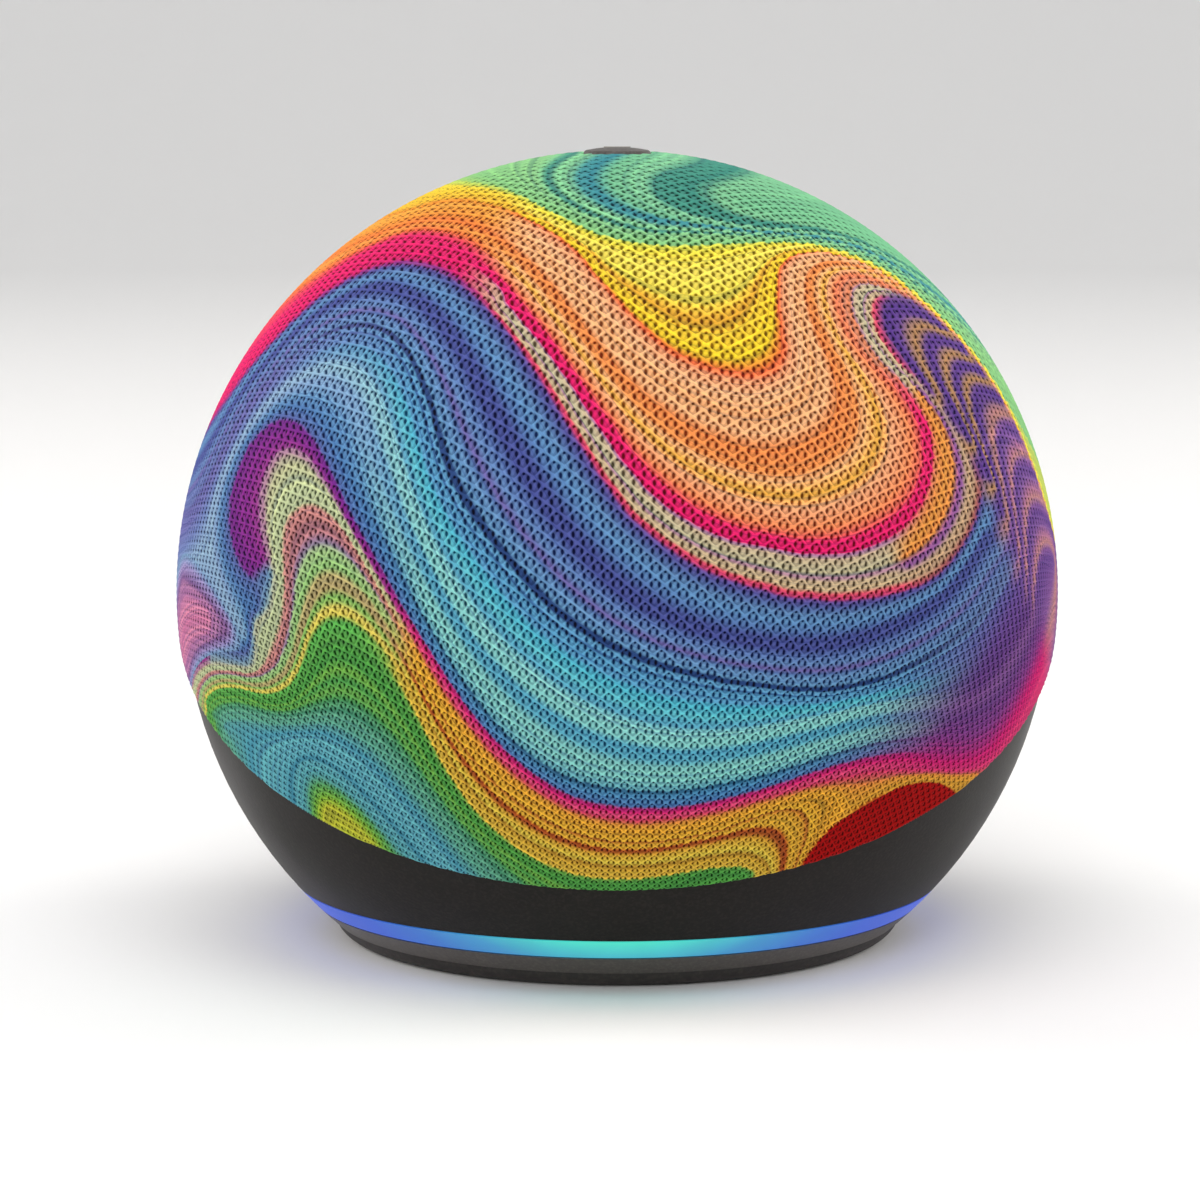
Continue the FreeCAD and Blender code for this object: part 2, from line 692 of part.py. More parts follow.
enclosure_outer = skirt_inner - s.enclosure_clear
frame_reach = control_radius + s.frame_clear + s.frame_wall
roof_height = (centre_height + frame_bottom * lean_cosine - frame_reach * lean_sine
               - s.roof_clear)
driver_height = centre_height + s.driver_rise
flange_stack = s.gasket_thick + s.basket_flange
baffle_place = (leg(skirt_inner - s.baffle_clear, s.flange_radius + s.driver_rise)
                - flange_stack)


def chamber(label, low_y, high_y, inset):
    """The enclosure's ball between a floor, a roof, a front and two upright planes."""
    wide = s.ball_radius * 3
    ball = put(part("Sphere", label + "_ball", Radius=enclosure_outer - inset), z=centre_height)
    slab = part("Box", label + "_slab", Length=wide, Width=high_y - low_y,
                Height=roof_height - s.floor_height - inset * 2)
    put(slab, -(wide / 2), low_y, s.floor_height + inset)
    return common(label, [ball, slab])


def enclosure_piece(label, low_y, high_y, front_inset, side, cutters):
    outer = chamber(label + "_outer", low_y, high_y, as_dim(0))
    inner = chamber(label + "_inner", low_y + front_inset, high_y, s.enclosure_wall)
    bits = [outer]
    if side:
        posts = pillar_bits(label + "_post", s.pillar_radius, main_top,
                            s.floor_height + s.enclosure_wall / 2)
        bits += [post for post, place in zip(posts, pillar_places()) if place[1].value * side > 0]
        for post, place in zip(posts, pillar_places()):
            if place[1].value * side <= 0:
                doc.removeObject(post.Name)
    solid = fuse(label + "_solid", bits) if len(bits) > 1 else outer
    return keep(cut(label, solid, [inner] + cutters))


def enclosure():
    far = s.ball_radius
    pilot_top = s.foot_thick + s.head_tall + s.screw_long + s.seam_gap
    pilots = pillar_bits("enclosure_pilot", s.screw_radius + s.pilot_clear, main_top, pilot_top)
    front = [pilot for pilot, place in zip(pilots, pillar_places()) if place[1].value < 0]
    rear = [pilot for pilot, place in zip(pilots, pillar_places()) if place[1].value > 0]
    mouth = cylinder("enclosure_mouth", s.basket_throat + s.basket_wall + s.ring_clear,
                     s.enclosure_wall * 2, y=-(baffle_place - s.enclosure_wall * 1.5),
                     z=driver_height, turn=FORWARD)
    screw_bores = driver_ring("enclosure_screw_bore", s.driver_screw + s.pilot_clear,
                              baffle_place - s.enclosure_wall * 2, s.enclosure_wall * 3)
    lead_bores = lead_tubes("enclosure_lead_bore", s.lead_radius + s.lead_clear)
    enclosure_piece("enclosure_front", -baffle_place, s.split_place, s.enclosure_wall, -1,
                    front + [mouth] + screw_bores + lead_bores)
    rear_start = s.split_place + s.seal_thick
    enclosure_piece("enclosure_seal", s.split_place, rear_start, as_dim(0), 0, [])
    enclosure_piece("enclosure_rear", rear_start, far, as_dim(0), 1, rear)
    antennas = [block("antenna_%s" % name, s.antenna_long, s.antenna_wide, s.antenna_thick,
                      y=-(s.antenna_space / 2) - s.antenna_wide * row, z=roof_height)
                for row, name in ((0, "rear"), (1.5, "front"))]
    keep(group("antennas", antennas))


def control_flex():
    """The flat cable from the control board over the enclosure's roof and down its back."""
    near = enclosure_outer + s.flex_clear
    far = near + s.flex_thick
    roof = roof_height
    foot = main_top
    board_y = s.flex_reach + s.flex_thick
    top = centre_height + (board_low - board_y * lean_sine) / lean_cosine - s.seam_gap
    body = new_body("control_flex")
    sketch = outline(new_sketch(body, "flex_outline", "YZ_Plane"), [
        (s.flex_reach, roof),
        (ball_at(near, roof), roof, near, centre_point),
        (ball_at(near, foot), foot),
        (ball_at(far, foot), foot, far, centre_point),
        (ball_at(far, roof + s.flex_thick), roof + s.flex_thick),
        (board_y, roof + s.flex_thick), (board_y, top), (s.flex_reach, top),
    ])
    feature = pad(body, sketch, s.flex_width, "flex_strip")
    feature.Midplane = True
    keep(body)


# ---- driver -----------------------------------------------------------------------------------------

driver_place = {"z": driver_height, "turn": FORWARD}
flange_back = baffle_place + s.gasket_thick
flange_front = flange_back + s.basket_flange
motor_front = flange_front - s.motor_drop
coil_top = flange_front - s.coil_drop
spider_place = flange_front - s.spider_drop
plate_back = motor_front - s.plate_thick
magnet_back = plate_back - s.magnet_thick
coil_inner = s.pole_radius + s.coil_gap
coil_outer = coil_inner + s.coil_wall


def driver_ring(label, radius, low, length):
    """Cylinders along the driver's axis at its screws."""
    bits = []
    for azimuth in QUARTERS:
        angle = math.radians(azimuth)
        bits.append(cylinder("%s_%d" % (label, azimuth), radius, length,
                             x=s.driver_screw_circle * math.cos(angle), y=-low,
                             z=driver_height + s.driver_screw_circle * math.sin(angle),
                             turn=FORWARD))
    return bits


def lead_tubes(label, radius):
    low = main_top
    high = driver_height - s.motor_radius - s.lead_clear
    place = -(motor_front - s.plate_thick / 2)
    return [cylinder("%s_%s" % (label, name), radius, high - low, x=s.lead_spacing / 2 * side,
                     y=place, z=low) for name, side in (("left", -1), ("right", 1))]


def driver_frame():
    floor = motor_front + s.basket_floor
    bowl = spin("basket_bowl", [
        (s.basket_throat, flange_front), (s.flange_radius, flange_front),
        (s.flange_radius, flange_back), (s.basket_throat + s.basket_wall, flange_back),
        (s.basket_neck + s.basket_wall, floor), (s.motor_radius, floor),
        (s.motor_radius, motor_front), (coil_outer + s.basket_wall, motor_front),
        (coil_outer + s.basket_wall, floor), (s.basket_neck, floor),
        (s.basket_throat, flange_back),
    ], **driver_place)
    tall = flange_back - floor - s.basket_wall * 2
    windows = []
    for index in range(6):
        turn = FORWARD.multiply(about_z(60.0 * index))
        window = part("Box", "basket_window_%d" % index, Length=s.flange_radius,
                      Width=s.window_width, Height=tall * 0.7)
        local = FreeCAD.Vector(0, -s.window_width.value / 2,
                               (floor + s.basket_wall + tall * 0.15).value)
        place = turn.multVec(local)
        place.z += driver_height.value
        window.Placement = FreeCAD.Placement(place, turn)
        windows.append(window)
    bores = driver_ring("basket_bore", s.driver_screw + s.screw_clear, baffle_place,
                        s.basket_flange * 2)
    keep(cut("driver_basket", bowl, windows + bores))
    gasket = spin("gasket_ring", [
        (s.flange_radius - s.gasket_width, baffle_place), (s.flange_radius, baffle_place),
        (s.flange_radius, flange_back), (s.flange_radius - s.gasket_width, flange_back),
    ], **driver_place)
    gasket_bores = driver_ring("gasket_bore", s.driver_screw + s.screw_clear,
                               baffle_place - s.gasket_thick, s.gasket_thick * 3)
    keep(cut("driver_gasket", gasket, gasket_bores))
    heads = driver_ring("driver_head", s.driver_head, flange_front, s.driver_head_tall)
    shanks = driver_ring("driver_shank", s.driver_screw, flange_front - s.driver_screw_long,
                         s.driver_screw_long)
    keep(group("driver_screws", [fuse("driver_screw_%d" % index, list(pair))
                                 for index, pair in enumerate(zip(heads, shanks))]))


def driver_motor():
    keep(spin("front_plate", [
        (coil_outer + s.coil_gap, plate_back), (s.motor_radius, plate_back),
        (s.motor_radius, motor_front), (coil_outer + s.coil_gap, motor_front),
    ], **driver_place))
    keep(spin("ring_magnet", [
        (coil_outer + s.coil_gap * 4, magnet_back), (s.motor_radius, magnet_back),
        (s.motor_radius, plate_back), (coil_outer + s.coil_gap * 4, plate_back),
    ], **driver_place))
    keep(spin("back_yoke", [
        (0, magnet_back - s.yoke_thick), (s.motor_radius, magnet_back - s.yoke_thick),
        (s.motor_radius, magnet_back), (s.pole_radius, magnet_back),
        (s.pole_radius, motor_front), (0, motor_front),
    ], **driver_place))


def driver_moving():
    keep(spin("voice_coil", [
        (coil_inner, coil_top - s.coil_long), (coil_outer, coil_top - s.coil_long),
        (coil_outer, coil_top), (coil_inner, coil_top),
    ], **driver_place))
    cone_front = flange_front - s.cone_drop
    keep(spin("driver_cone", [
        (coil_inner, coil_top), (coil_outer, coil_top),
        (s.cone_radius, cone_front - s.cone_thick), (s.cone_radius, cone_front),
        (coil_inner, coil_top + s.cone_thick * 2),
    ], **driver_place))
    rim = flange_front - s.cap_drop
    outer = (s.cap_chord * s.cap_chord + s.cap_rise * s.cap_rise) / (s.cap_rise * 2)
    chord = s.cap_chord - s.cap_wall
    rise = s.cap_rise - s.cap_wall
    inner = (chord * chord + rise * rise) / (rise * 2)
    keep(spin("dust_cap", [
        (s.cap_chord, rim, outer, (0, rim + s.cap_rise - outer)), (0, rim + s.cap_rise),
        (0, rim + rise, inner, (0, rim + rise - inner)), (chord, rim),
    ], **driver_place))


def driver_suspension():
    """The surround and spider at rest, with running room round the cone and the coil."""
    inside = s.cone_radius + s.roll_gap
    drop = s.roll_wall / 2
    land = s.roll_wall
    small = s.roll_radius - s.roll_wall
    middle = inside + leg(s.roll_radius, drop)
    centre = (middle, flange_front - drop)
    land_end = middle + s.roll_radius + s.roll_land
    keep(spin("cone_surround", [
        (inside, flange_front, s.roll_radius, centre),
        (middle + leg(s.roll_radius, drop + land), flange_front + land),
        (land_end, flange_front + land), (land_end, flange_front),
        (middle + leg(small, drop), flange_front, small, centre),
        (middle - leg(small, drop), flange_front),
    ], **driver_place))
    keep(spin("spider", [
        (coil_outer + s.roll_gap, spider_place), (s.basket_neck, spider_place),
        (s.basket_neck, spider_place + s.spider_thick),
        (coil_outer + s.roll_gap, spider_place + s.spider_thick),
    ], **driver_place))


def check(obj):
    states = [state for state in obj.State if state in ("Invalid", "Error")]
    if states:
        raise RuntimeError("%s is %s" % (obj.Label, ", ".join(states)))


def main():
    fabric_sleeve()
    grille_dome()
    button_caps()
    button_frame()
    key_mat()
    control_board()
    lower_housing()
    light_parts()
    base_and_foot()
    main_board()
    sockets()
    enclosure()
    control_flex()
    driver_frame()
    driver_motor()
    driver_moving()
    driver_suspension()
    keep(group("speaker_leads", lead_tubes("speaker_lead", s.lead_radius)))
    doc.recompute()
    for obj in doc.Objects:
        check(obj)
    os.makedirs("parts", exist_ok=True)
    for node in nodes:
        if node.Shape.isNull() or not node.Shape.isValid() or not node.Shape.Solids:
            raise RuntimeError(node.Label + " has no valid solid")
        node.Shape.exportStep("parts/%s.step" % node.Label)
        print("%-18s %2d solids %10.2f mm3" % (node.Label, len(node.Shape.Solids),
                                               node.Shape.Volume))


main()
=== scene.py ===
import logging
import math
from dataclasses import dataclass, field
from enum import Enum

import bmesh
import bpy
import numpy as np
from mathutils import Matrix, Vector


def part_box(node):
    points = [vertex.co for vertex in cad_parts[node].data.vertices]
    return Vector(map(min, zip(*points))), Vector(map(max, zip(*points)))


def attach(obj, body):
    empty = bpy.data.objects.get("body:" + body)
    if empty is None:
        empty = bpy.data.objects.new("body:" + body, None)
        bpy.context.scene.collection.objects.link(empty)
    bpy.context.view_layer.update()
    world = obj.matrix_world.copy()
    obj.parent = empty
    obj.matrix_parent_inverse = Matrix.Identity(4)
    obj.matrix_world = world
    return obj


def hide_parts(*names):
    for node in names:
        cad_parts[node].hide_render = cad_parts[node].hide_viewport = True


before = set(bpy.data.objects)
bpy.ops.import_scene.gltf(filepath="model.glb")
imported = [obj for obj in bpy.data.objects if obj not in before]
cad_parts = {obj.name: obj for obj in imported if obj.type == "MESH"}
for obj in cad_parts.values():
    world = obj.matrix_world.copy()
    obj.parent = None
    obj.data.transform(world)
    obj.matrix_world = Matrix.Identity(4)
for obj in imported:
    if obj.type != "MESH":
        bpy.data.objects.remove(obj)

# A ball-shaped smart speaker. The printed knit sleeve, the button marks and the studio are made
# here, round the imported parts. Metres, +Z up, front towards -Y. Print strokes are in millimetres
# on the knit laid out flat, with the flat's centre at the top of its leaning axis.

MM = 0.001
TINY = 1e-9
LOG = logging.getLogger("speaker")
BODY = "speaker_body"

Colour = tuple[float, float, float, float]
Span = tuple[float, ...]
Stops = tuple[tuple[float, str], ...]
Place = tuple[float, float]

# where most of a soft noise lies, between its lowest and highest values
CLOUDS = (0.3, 0.7)


def linear(code: str) -> Colour:
    """The linear colour of a six-figure colour code.

    Args:
        code: Red, green and blue as two hexadecimal figures each.

    Returns:
        Red, green, blue and a full alpha, ready for a socket.
    """
    parts = [int(code[place:place + 2], 16) / 255 for place in (0, 2, 4)]
    return tuple([part / 12.92 if part <= 0.04045 else ((part + 0.055) / 1.055) ** 2.4
                  for part in parts] + [1.0])


def placed(name: str, data: bpy.types.ID) -> bpy.types.Object:
    """A new object in the scene.

    Args:
        name: What the object is called.
        data: Its mesh, light or camera.

    Returns:
        The object, at the origin.
    """
    made = bpy.data.objects.new(name, data)
    bpy.context.scene.collection.objects.link(made)
    return made


def read_rows(items: bpy.types.bpy_prop_collection, name: str) -> np.ndarray:
    """A vector that every item of a mesh has.

    Args:
        items: The mesh's items, such as its vertices.
        name: The vector's name.

    Returns:
        One item's vector to a row.
    """
    values = np.zeros(len(items) * 3)
    items.foreach_get(name, values)
    return values.reshape(-1, 3)


def skirt(work: bmesh.types.BMesh, low: list[bmesh.types.BMVert],
          high: list[bmesh.types.BMVert]) -> list[bmesh.types.BMFace]:
    """Join two closed rings of as many points with a band of faces.

    Args:
        work: The mesh being made.
        low: One ring.
        high: The other, with its points in the same order.

    Returns:
        The faces, which look outwards where the rings run anticlockwise and high is above.
    """
    return [work.faces.new((low[index - 1], low[index], high[index], high[index - 1]))
            for index in range(len(low))]


class Nodes:
    """A node tree, with short calls that fill it."""

    def __init__(self, tree: bpy.types.NodeTree) -> None:
        """Take the tree that is to be filled."""
        self.tree = tree

    def feed(self, socket: bpy.types.NodeSocket, value: object) -> None:
        """Link a socket, or set it where the value is a plain one.

        Args:
            socket: The input that is fed.
            value: Another node's output, or a plain value.
        """
        if isinstance(value, bpy.types.NodeSocket):
            self.tree.links.new(value, socket)
        else:
            socket.default_value = value

    def node(self, kind: str, settings: dict[str, object] | None = None,
             **inputs: object) -> bpy.types.Node:
        """Add a node.

        Args:
            kind: The node's type; a shader node's type goes without its prefix.
            settings: Properties of the node itself.
            inputs: Sockets by name, with an underscore for a space, or by place, as in at0.

        Returns:
            The new node.
        """
        made = self.tree.nodes.new(kind if "Node" in kind else "ShaderNode" + kind)
        for name, value in (settings or {}).items():
            setattr(made, name, value)
        for name, value in inputs.items():
            key = int(name[2:]) if name.startswith("at") else name.replace("_", " ")
            self.feed(made.inputs[key], value)
        return made

    def math(self, operation: str, first: object, second: object = 0.0,
             third: object = 0.0) -> bpy.types.NodeSocket:
        """Work out a number.

        Args:
            operation: The Math node's operation.
            first: Its first value.
            second: Its second value, where the operation has one.
            third: Its third value, where the operation has one.

        Returns:
            The result.
        """
        return self.node("Math", {"operation": operation}, at0=first, at1=second,
                         at2=third).outputs[0]


class Bench(Nodes):
    """The node tree of one material, which ends in one Principled shader."""

    def __init__(self, name: str) -> None:
        """Start an empty material.

        Args:
            name: What the material is called.
        """
        self.material = bpy.data.materials.new(name)
        self.material.use_nodes = True
        super().__init__(self.material.node_tree)
        self.tree.nodes.clear()
        self.shader = self.node("BsdfPrincipled")
        self.node("OutputMaterial", None, Surface=self.shader.outputs[0])

    def set(self, **sizes: object) -> None:
        """Set the shader's sockets; an underscore in a name stands for a space."""
        for name, value in sizes.items():
            self.feed(self.shader.inputs[name.replace("_", " ")], value)

    def span(self, value: object, low: float, high: float, start: float = 0.0,
             stop: float = 1.0) -> bpy.types.NodeSocket:
        """A smooth step.

        Args:
            value: What the step follows.
            low: The value at which it starts.
            high: The value at which it ends.
            start: The result up to low.
            stop: The result from high on.

        Returns:
            The step's height.
        """
        made = self.node("MapRange", {"interpolation_type": "SMOOTHSTEP"}, Value=value,
                         From_Min=low, From_Max=high, To_Min=start, To_Max=stop)
        return made.outputs[0]

    def blend(self, factor: object, first: object, second: object,
              kind: str = "MIX") -> bpy.types.NodeSocket:
        """Mix two colours.

        Args:
            factor: The second one's share.
            first: The colour below.
            second: The colour above.
            kind: How they mix.

        Returns:
            The mixed colour.
        """
        return self.node("Mix", {"data_type": "RGBA", "blend_type": kind}, at0=factor,
                         at6=first, at7=second).outputs[2]

    def multiply(self, first: object, second: object) -> bpy.types.NodeSocket:
        """Two colours multiplied in full."""
        return self.blend(1.0, first, second, "MULTIPLY")

    def ramp(self, value: object, stops: Stops, low: float = 0.0,
             high: float = 1.0) -> bpy.types.NodeSocket:
        """A run of colours along a value.

        Args:
            value: What the colours follow.
            stops: Each stop's place, on the value's own scale, and its colour code.
            low: The value at the ramp's start.
            high: The value at its end.

        Returns:
            The colour.
        """
        placed = self.math("MULTIPLY_ADD", value, 1 / (high - low), -low / (high - low))
        made = self.node("ValToRGB", None, Fac=placed)
        elements = made.color_ramp.elements
        while len(elements) > 1:
            elements.remove(elements[-1])
        for index, (place, code) in enumerate(stops):
            share = (place - low) / (high - low)
            element = elements[0] if index == 0 else elements.new(share)
            element.position = share
            element.color = linear(code)
        return made.outputs[0]

    def run(self, value: object, stops: Stops, margin: float = 0.01) -> bpy.types.NodeSocket:
        """A run of colours with the ramp drawn only as far as its own stops."""
        return self.ramp(value, stops, stops[0][0] - margin, stops[-1][0] + margin)

    def noise(self, scale: float, detail: float = 2.0, vector: object = None,
              rough: float = 0.5) -> bpy.types.NodeSocket:
        """Soft noise.

        Args:
            scale: How many clouds to a metre.
            detail: How many finer layers it has.
            vector: The place it follows, if not the Object coordinates.
            rough: How much the finer layers count.

        Returns:
            The noise, mostly from 0.3 to 0.7.
        """
        return self.node("TexNoise", None, Vector=vector or self.place(), Scale=scale,
                         Detail=detail, Roughness=rough).outputs["Fac"]

    def place(self) -> bpy.types.NodeSocket:
        """The Object coordinates, in metres."""
        return self.node("TexCoord").outputs["Object"]

    def bump(self, height: object, depth: float) -> bpy.types.NodeSocket:
        """A bumped normal from a height that runs from 0 to 1 over a depth in metres."""
        return self.node("Bump", None, Height=height, Strength=1.0, Distance=depth).outputs[0]


# ---- finishes --------------------------------------------------------------------------------

@dataclass(frozen=True)
class Moulded:
    """A moulded plastic or rubber with a fine spark-eroded grain."""

    name: str
    colour: str
    fleck: str
    roughness: float = 0.42
    grain: float = 2600.0
    depth: float = 0.00002
    gloss: float = 0.5
    clouds_to_grain: float = 60.0
    fleck_over: Place = (0.42, 0.72)
    unevenness: float = 0.05

    def build(self) -> bpy.types.Material:
        """Make the material.

        Returns:
            The material, ready for a slot.
        """
        bench = Bench(self.name)
        fine = bench.noise(self.grain, 3.0)
        broad = bench.noise(self.grain / self.clouds_to_grain, 2.0)
        tone = bench.blend(bench.span(fine, *self.fleck_over), linear(self.colour),
                           linear(self.fleck))
        dull = bench.span(broad, *CLOUDS, self.roughness - self.unevenness,
                          self.roughness + self.unevenness)
        bench.set(Base_Color=tone, Specular_IOR_Level=self.gloss, Roughness=dull,
                  Normal=bench.bump(fine, self.depth))
        return bench.material


@dataclass(frozen=True)
class Metal:
    """A bare metal with fine turning or rolling marks along one axis."""

    name: str
    colour: str
    roughness: float = 0.32
    stretch: tuple[float, float, float] = (1.0, 1.0, 14.0)
    marks: float = 900.0
    mark_over: Place = (0.35, 0.8)
    mark_depth: float = 0.00001
    mark_dark: float = 0.35
    unevenness: float = 0.14

    def build(self) -> bpy.types.Material:
        """Make the material.

        Returns:
            The material, ready for a slot.
        """
        bench = Bench(self.name)
        place = bench.node("Mapping", None, Vector=bench.place(), Scale=self.stretch).outputs[0]
        marks = bench.noise(self.marks, 4.0, place)
        bright = linear(self.colour)
        dull = bench.blend(self.mark_dark, bright, (0.02, 0.02, 0.02, 1.0))
        bench.set(Base_Color=bench.blend(bench.span(marks, *self.mark_over), bright, dull),
                  Metallic=1.0, Normal=bench.bump(marks, self.mark_depth),
                  Roughness=bench.span(marks, *CLOUDS, self.roughness,
                                       self.roughness + self.unevenness))
        return bench.material


SCREW_STEEL = Metal("screw_steel", "b9bbbd")


@dataclass(frozen=True)
class Board:
    """A circuit board or film: solder mask over a maze of copper tracks."""

    name: str
    mask: str
    track: str
    pitch: float = 700.0
    track_edge: Place = (0.05, 0.09)
    track_depth: float = 0.00003

    def build(self) -> bpy.types.Material:
        """Make the material.

        Returns:
            The material, ready for a slot.
        """
        bench = Bench(self.name)
        cells = bench.node("TexVoronoi", {"feature": "DISTANCE_TO_EDGE"}, Vector=bench.place(),
                           Scale=self.pitch, Randomness=0.35).outputs["Distance"]
        lines = bench.span(cells, *self.track_edge, 1.0, 0.0)
        bench.set(Base_Color=bench.blend(lines, linear(self.mask), linear(self.track)),
                  Roughness=0.35, Normal=bench.bump(lines, self.track_depth))
        return bench.material


@dataclass(frozen=True)
class Fibre:
    """Pulp, felt or woven cloth: soft, dull and fibrous."""

    name: str
    colour: str
    fleck: str
    scale: float = 1400.0
    weave_depth: float = 0.00006

    def build(self) -> bpy.types.Material:
        """Make the material.

        Returns:
            The material, ready for a slot.
        """
        bench = Bench(self.name)
        weave = bench.math("MULTIPLY", *(
            bench.node("TexWave", {"bands_direction": way}, Vector=bench.place(),
                       Scale=self.scale / 6, Distortion=2.0, Detail=2.0).outputs["Fac"]
            for way in "XZ"))
        tone = bench.blend(weave, linear(self.colour), linear(self.fleck))
        bench.set(Base_Color=tone, Roughness=0.88, Sheen_Weight=0.15, Sheen_Roughness=0.4,
                  Normal=bench.bump(weave, self.weave_depth))
        return bench.material


@dataclass(frozen=True)
class Glow:
    """The lit diffuser: light that shifts hue from the front to the sides."""

    name: str
    strength: float = 1.0
    radius: float = 0.0357
    hues: Stops = ((-1.0, "1c42c6"), (0.3, "1f49cf"), (0.66, "2457cf"), (0.80, "2e72ce"),
                   (0.90, "3a98ce"), (0.955, "44c8d2"), (1.0, "4cf0d4"))
    unlit: str = "20242c"
    cloud: float = 220.0
    cloud_share: Span = (0.2, 0.8, 0.96, 1.04)

    def build(self) -> bpy.types.Material:
        """Make the material.

        Returns:
            The material, ready for a slot.
        """
        bench = Bench(self.name)
        place = bench.node("SeparateXYZ", None, Vector=bench.place())
        front = bench.math("DIVIDE", place.outputs["Y"], -self.radius)
        hue = bench.ramp(front, self.hues, -1.0, 1.0)
        cloud = bench.span(bench.noise(self.cloud, 2.0), *self.cloud_share)
        grey = bench.node("CombineColor", None, Red=cloud, Green=cloud, Blue=cloud).outputs[0]
        lit = bench.multiply(hue, grey)
        bench.set(Base_Color=linear(self.unlit), Roughness=0.38, Emission_Color=lit,
                  Emission_Strength=self.strength)
        return bench.material


@dataclass(frozen=True)
class Clear:
    """Clear acrylic with a faint tint."""

    name: str
    colour: str = "e8f0f2"
    haze: Place = (0.06, 0.14)

    def build(self) -> bpy.types.Material:
        """Make the material.

        Returns:
            The material, ready for a slot.
        """
        bench = Bench(self.name)
        haze = bench.span(bench.noise(500.0), *CLOUDS, *self.haze)
        bench.set(Base_Color=linear(self.colour), Roughness=haze, IOR=1.49,
                  Transmission_Weight=0.9)
        return bench.material


# ---- the print -------------------------------------------------------------------------------

class Field(Enum):
    """The smooth fields that the print is drawn from, each kept as a value on the knit."""

    FLOW = "flow"
    LEFT = "left_share"
    RIGHT = "right_share"
    WARM = "warm_share"
    CHEVRON = "chevron"
    EYE = "eye"
    SPOT = "pink_spot"
    FADE = "fade_share"
    BLOB = "red_blob"


@dataclass(frozen=True)
class Stroke:
    """A line of equal value, drawn on the flat knit, in millimetres."""

    value: float
    points: tuple[Place, ...]

    def spaced(self, step: float = 4.0) -> np.ndarray:
        """Follow the stroke.

        Args:
            step: About how far apart the points lie.

        Returns:
            Points on a smooth line through the stroke's own, one to a row.
        """
        own = np.array(self.points, float)
        if len(own) < 3:
            return own
        ends = np.vstack([2 * own[0] - own[1], own, 2 * own[-1] - own[-2]])
        made = []
        for first, start, stop, last in zip(ends, ends[1:], ends[2:], ends[3:]):
            count = max(1, int(np.linalg.norm(stop - start) / step))
            for share in np.arange(count) / count:
                made.append(0.5 * (2 * start + (stop - first) * share
                                   + (2 * first - 5 * start + 4 * stop - last) * share ** 2
                                   + (3 * start - first - 3 * stop + last) * share ** 3))
        return np.array(made + [own[-1]])


@dataclass(frozen=True)
class Film:
    """A soap film over the flat knit that is held along strokes, so it never ripples between."""

    reach: float = 112.0
    finest: float = 0.5
    levels: int = 6
    rounds: int = 90
    softening: int = 3

    def held(self, strokes: list[Stroke], step: float) -> tuple[np.ndarray, np.ndarray]:
        """Which crossings of a grid the strokes hold, and at what value.

        Args:
            strokes: The lines that hold the film.
            step: The grid's pitch.

        Returns:
            The held values, and a mask of where they stand.
        """
        count = 2 * round(self.reach / step) + 1
        total = np.zeros((count, count))
        hits = np.zeros((count, count))
        for stroke in strokes:
            points = stroke.spaced(step * 0.5)
            places = np.rint((points + self.reach) / step).astype(int)
            inside = ((places >= 0) & (places < count)).all(axis=1)
            column, row = places[inside].T
            np.add.at(total, (row, column), stroke.value)
            np.add.at(hits, (row, column), 1)
        return total / np.maximum(hits, 1), hits > 0

    def stretch(self, strokes: list[Stroke]) -> np.ndarray:
        """Stretch the film, from a coarse grid to the finest one.

        Args:
            strokes: The lines that hold the film.

        Returns:
            The film's value on the finest grid.
        """
        film = None
        for level in range(self.levels - 1, -1, -1):
            values, mask = self.held(strokes, self.finest * 2 ** level)
            if film is None:
                film = np.full(values.shape, values[mask].mean())
            else:
                film = np.repeat(np.repeat(film, 2, axis=0), 2, axis=1)[:-1, :-1]
            for _ in range(self.rounds):
                film[mask] = values[mask]
                film = self.eased(film)
            film[mask] = values[mask]
        for _ in range(self.softening):
            film = (film + self.eased(film)) / 2
        return film

    def eased(self, film: np.ndarray) -> np.ndarray:
        """Ease a film once.

        Args:
            film: The film's value at each crossing.

        Returns:
            The mean of each crossing's four neighbours.
        """
        padded = np.pad(film, 1, mode="edge")
        return (padded[2:, 1:-1] + padded[:-2, 1:-1] + padded[1:-1, 2:]
                + padded[1:-1, :-2]) / 4

    def read(self, strokes: list[Stroke], places: np.ndarray) -> np.ndarray:
        """Read the film that some strokes hold.

        Args:
            strokes: The lines that hold the film.
            places: Flat places in millimetres, one to a row.

        Returns:
            The film's value at each place.
        """
        film = self.stretch(strokes)
        spot = np.clip((places + self.reach) / self.finest, 0, film.shape[0] - 1.001)
        corner = spot.astype(int)
        share = spot - corner
        column, row = corner.T
        across, along = share.T
        low = film[row, column] * (1 - across) + film[row, column + 1] * across
        high = film[row + 1, column] * (1 - across) + film[row + 1, column + 1] * across
        return low * (1 - along) + high * along


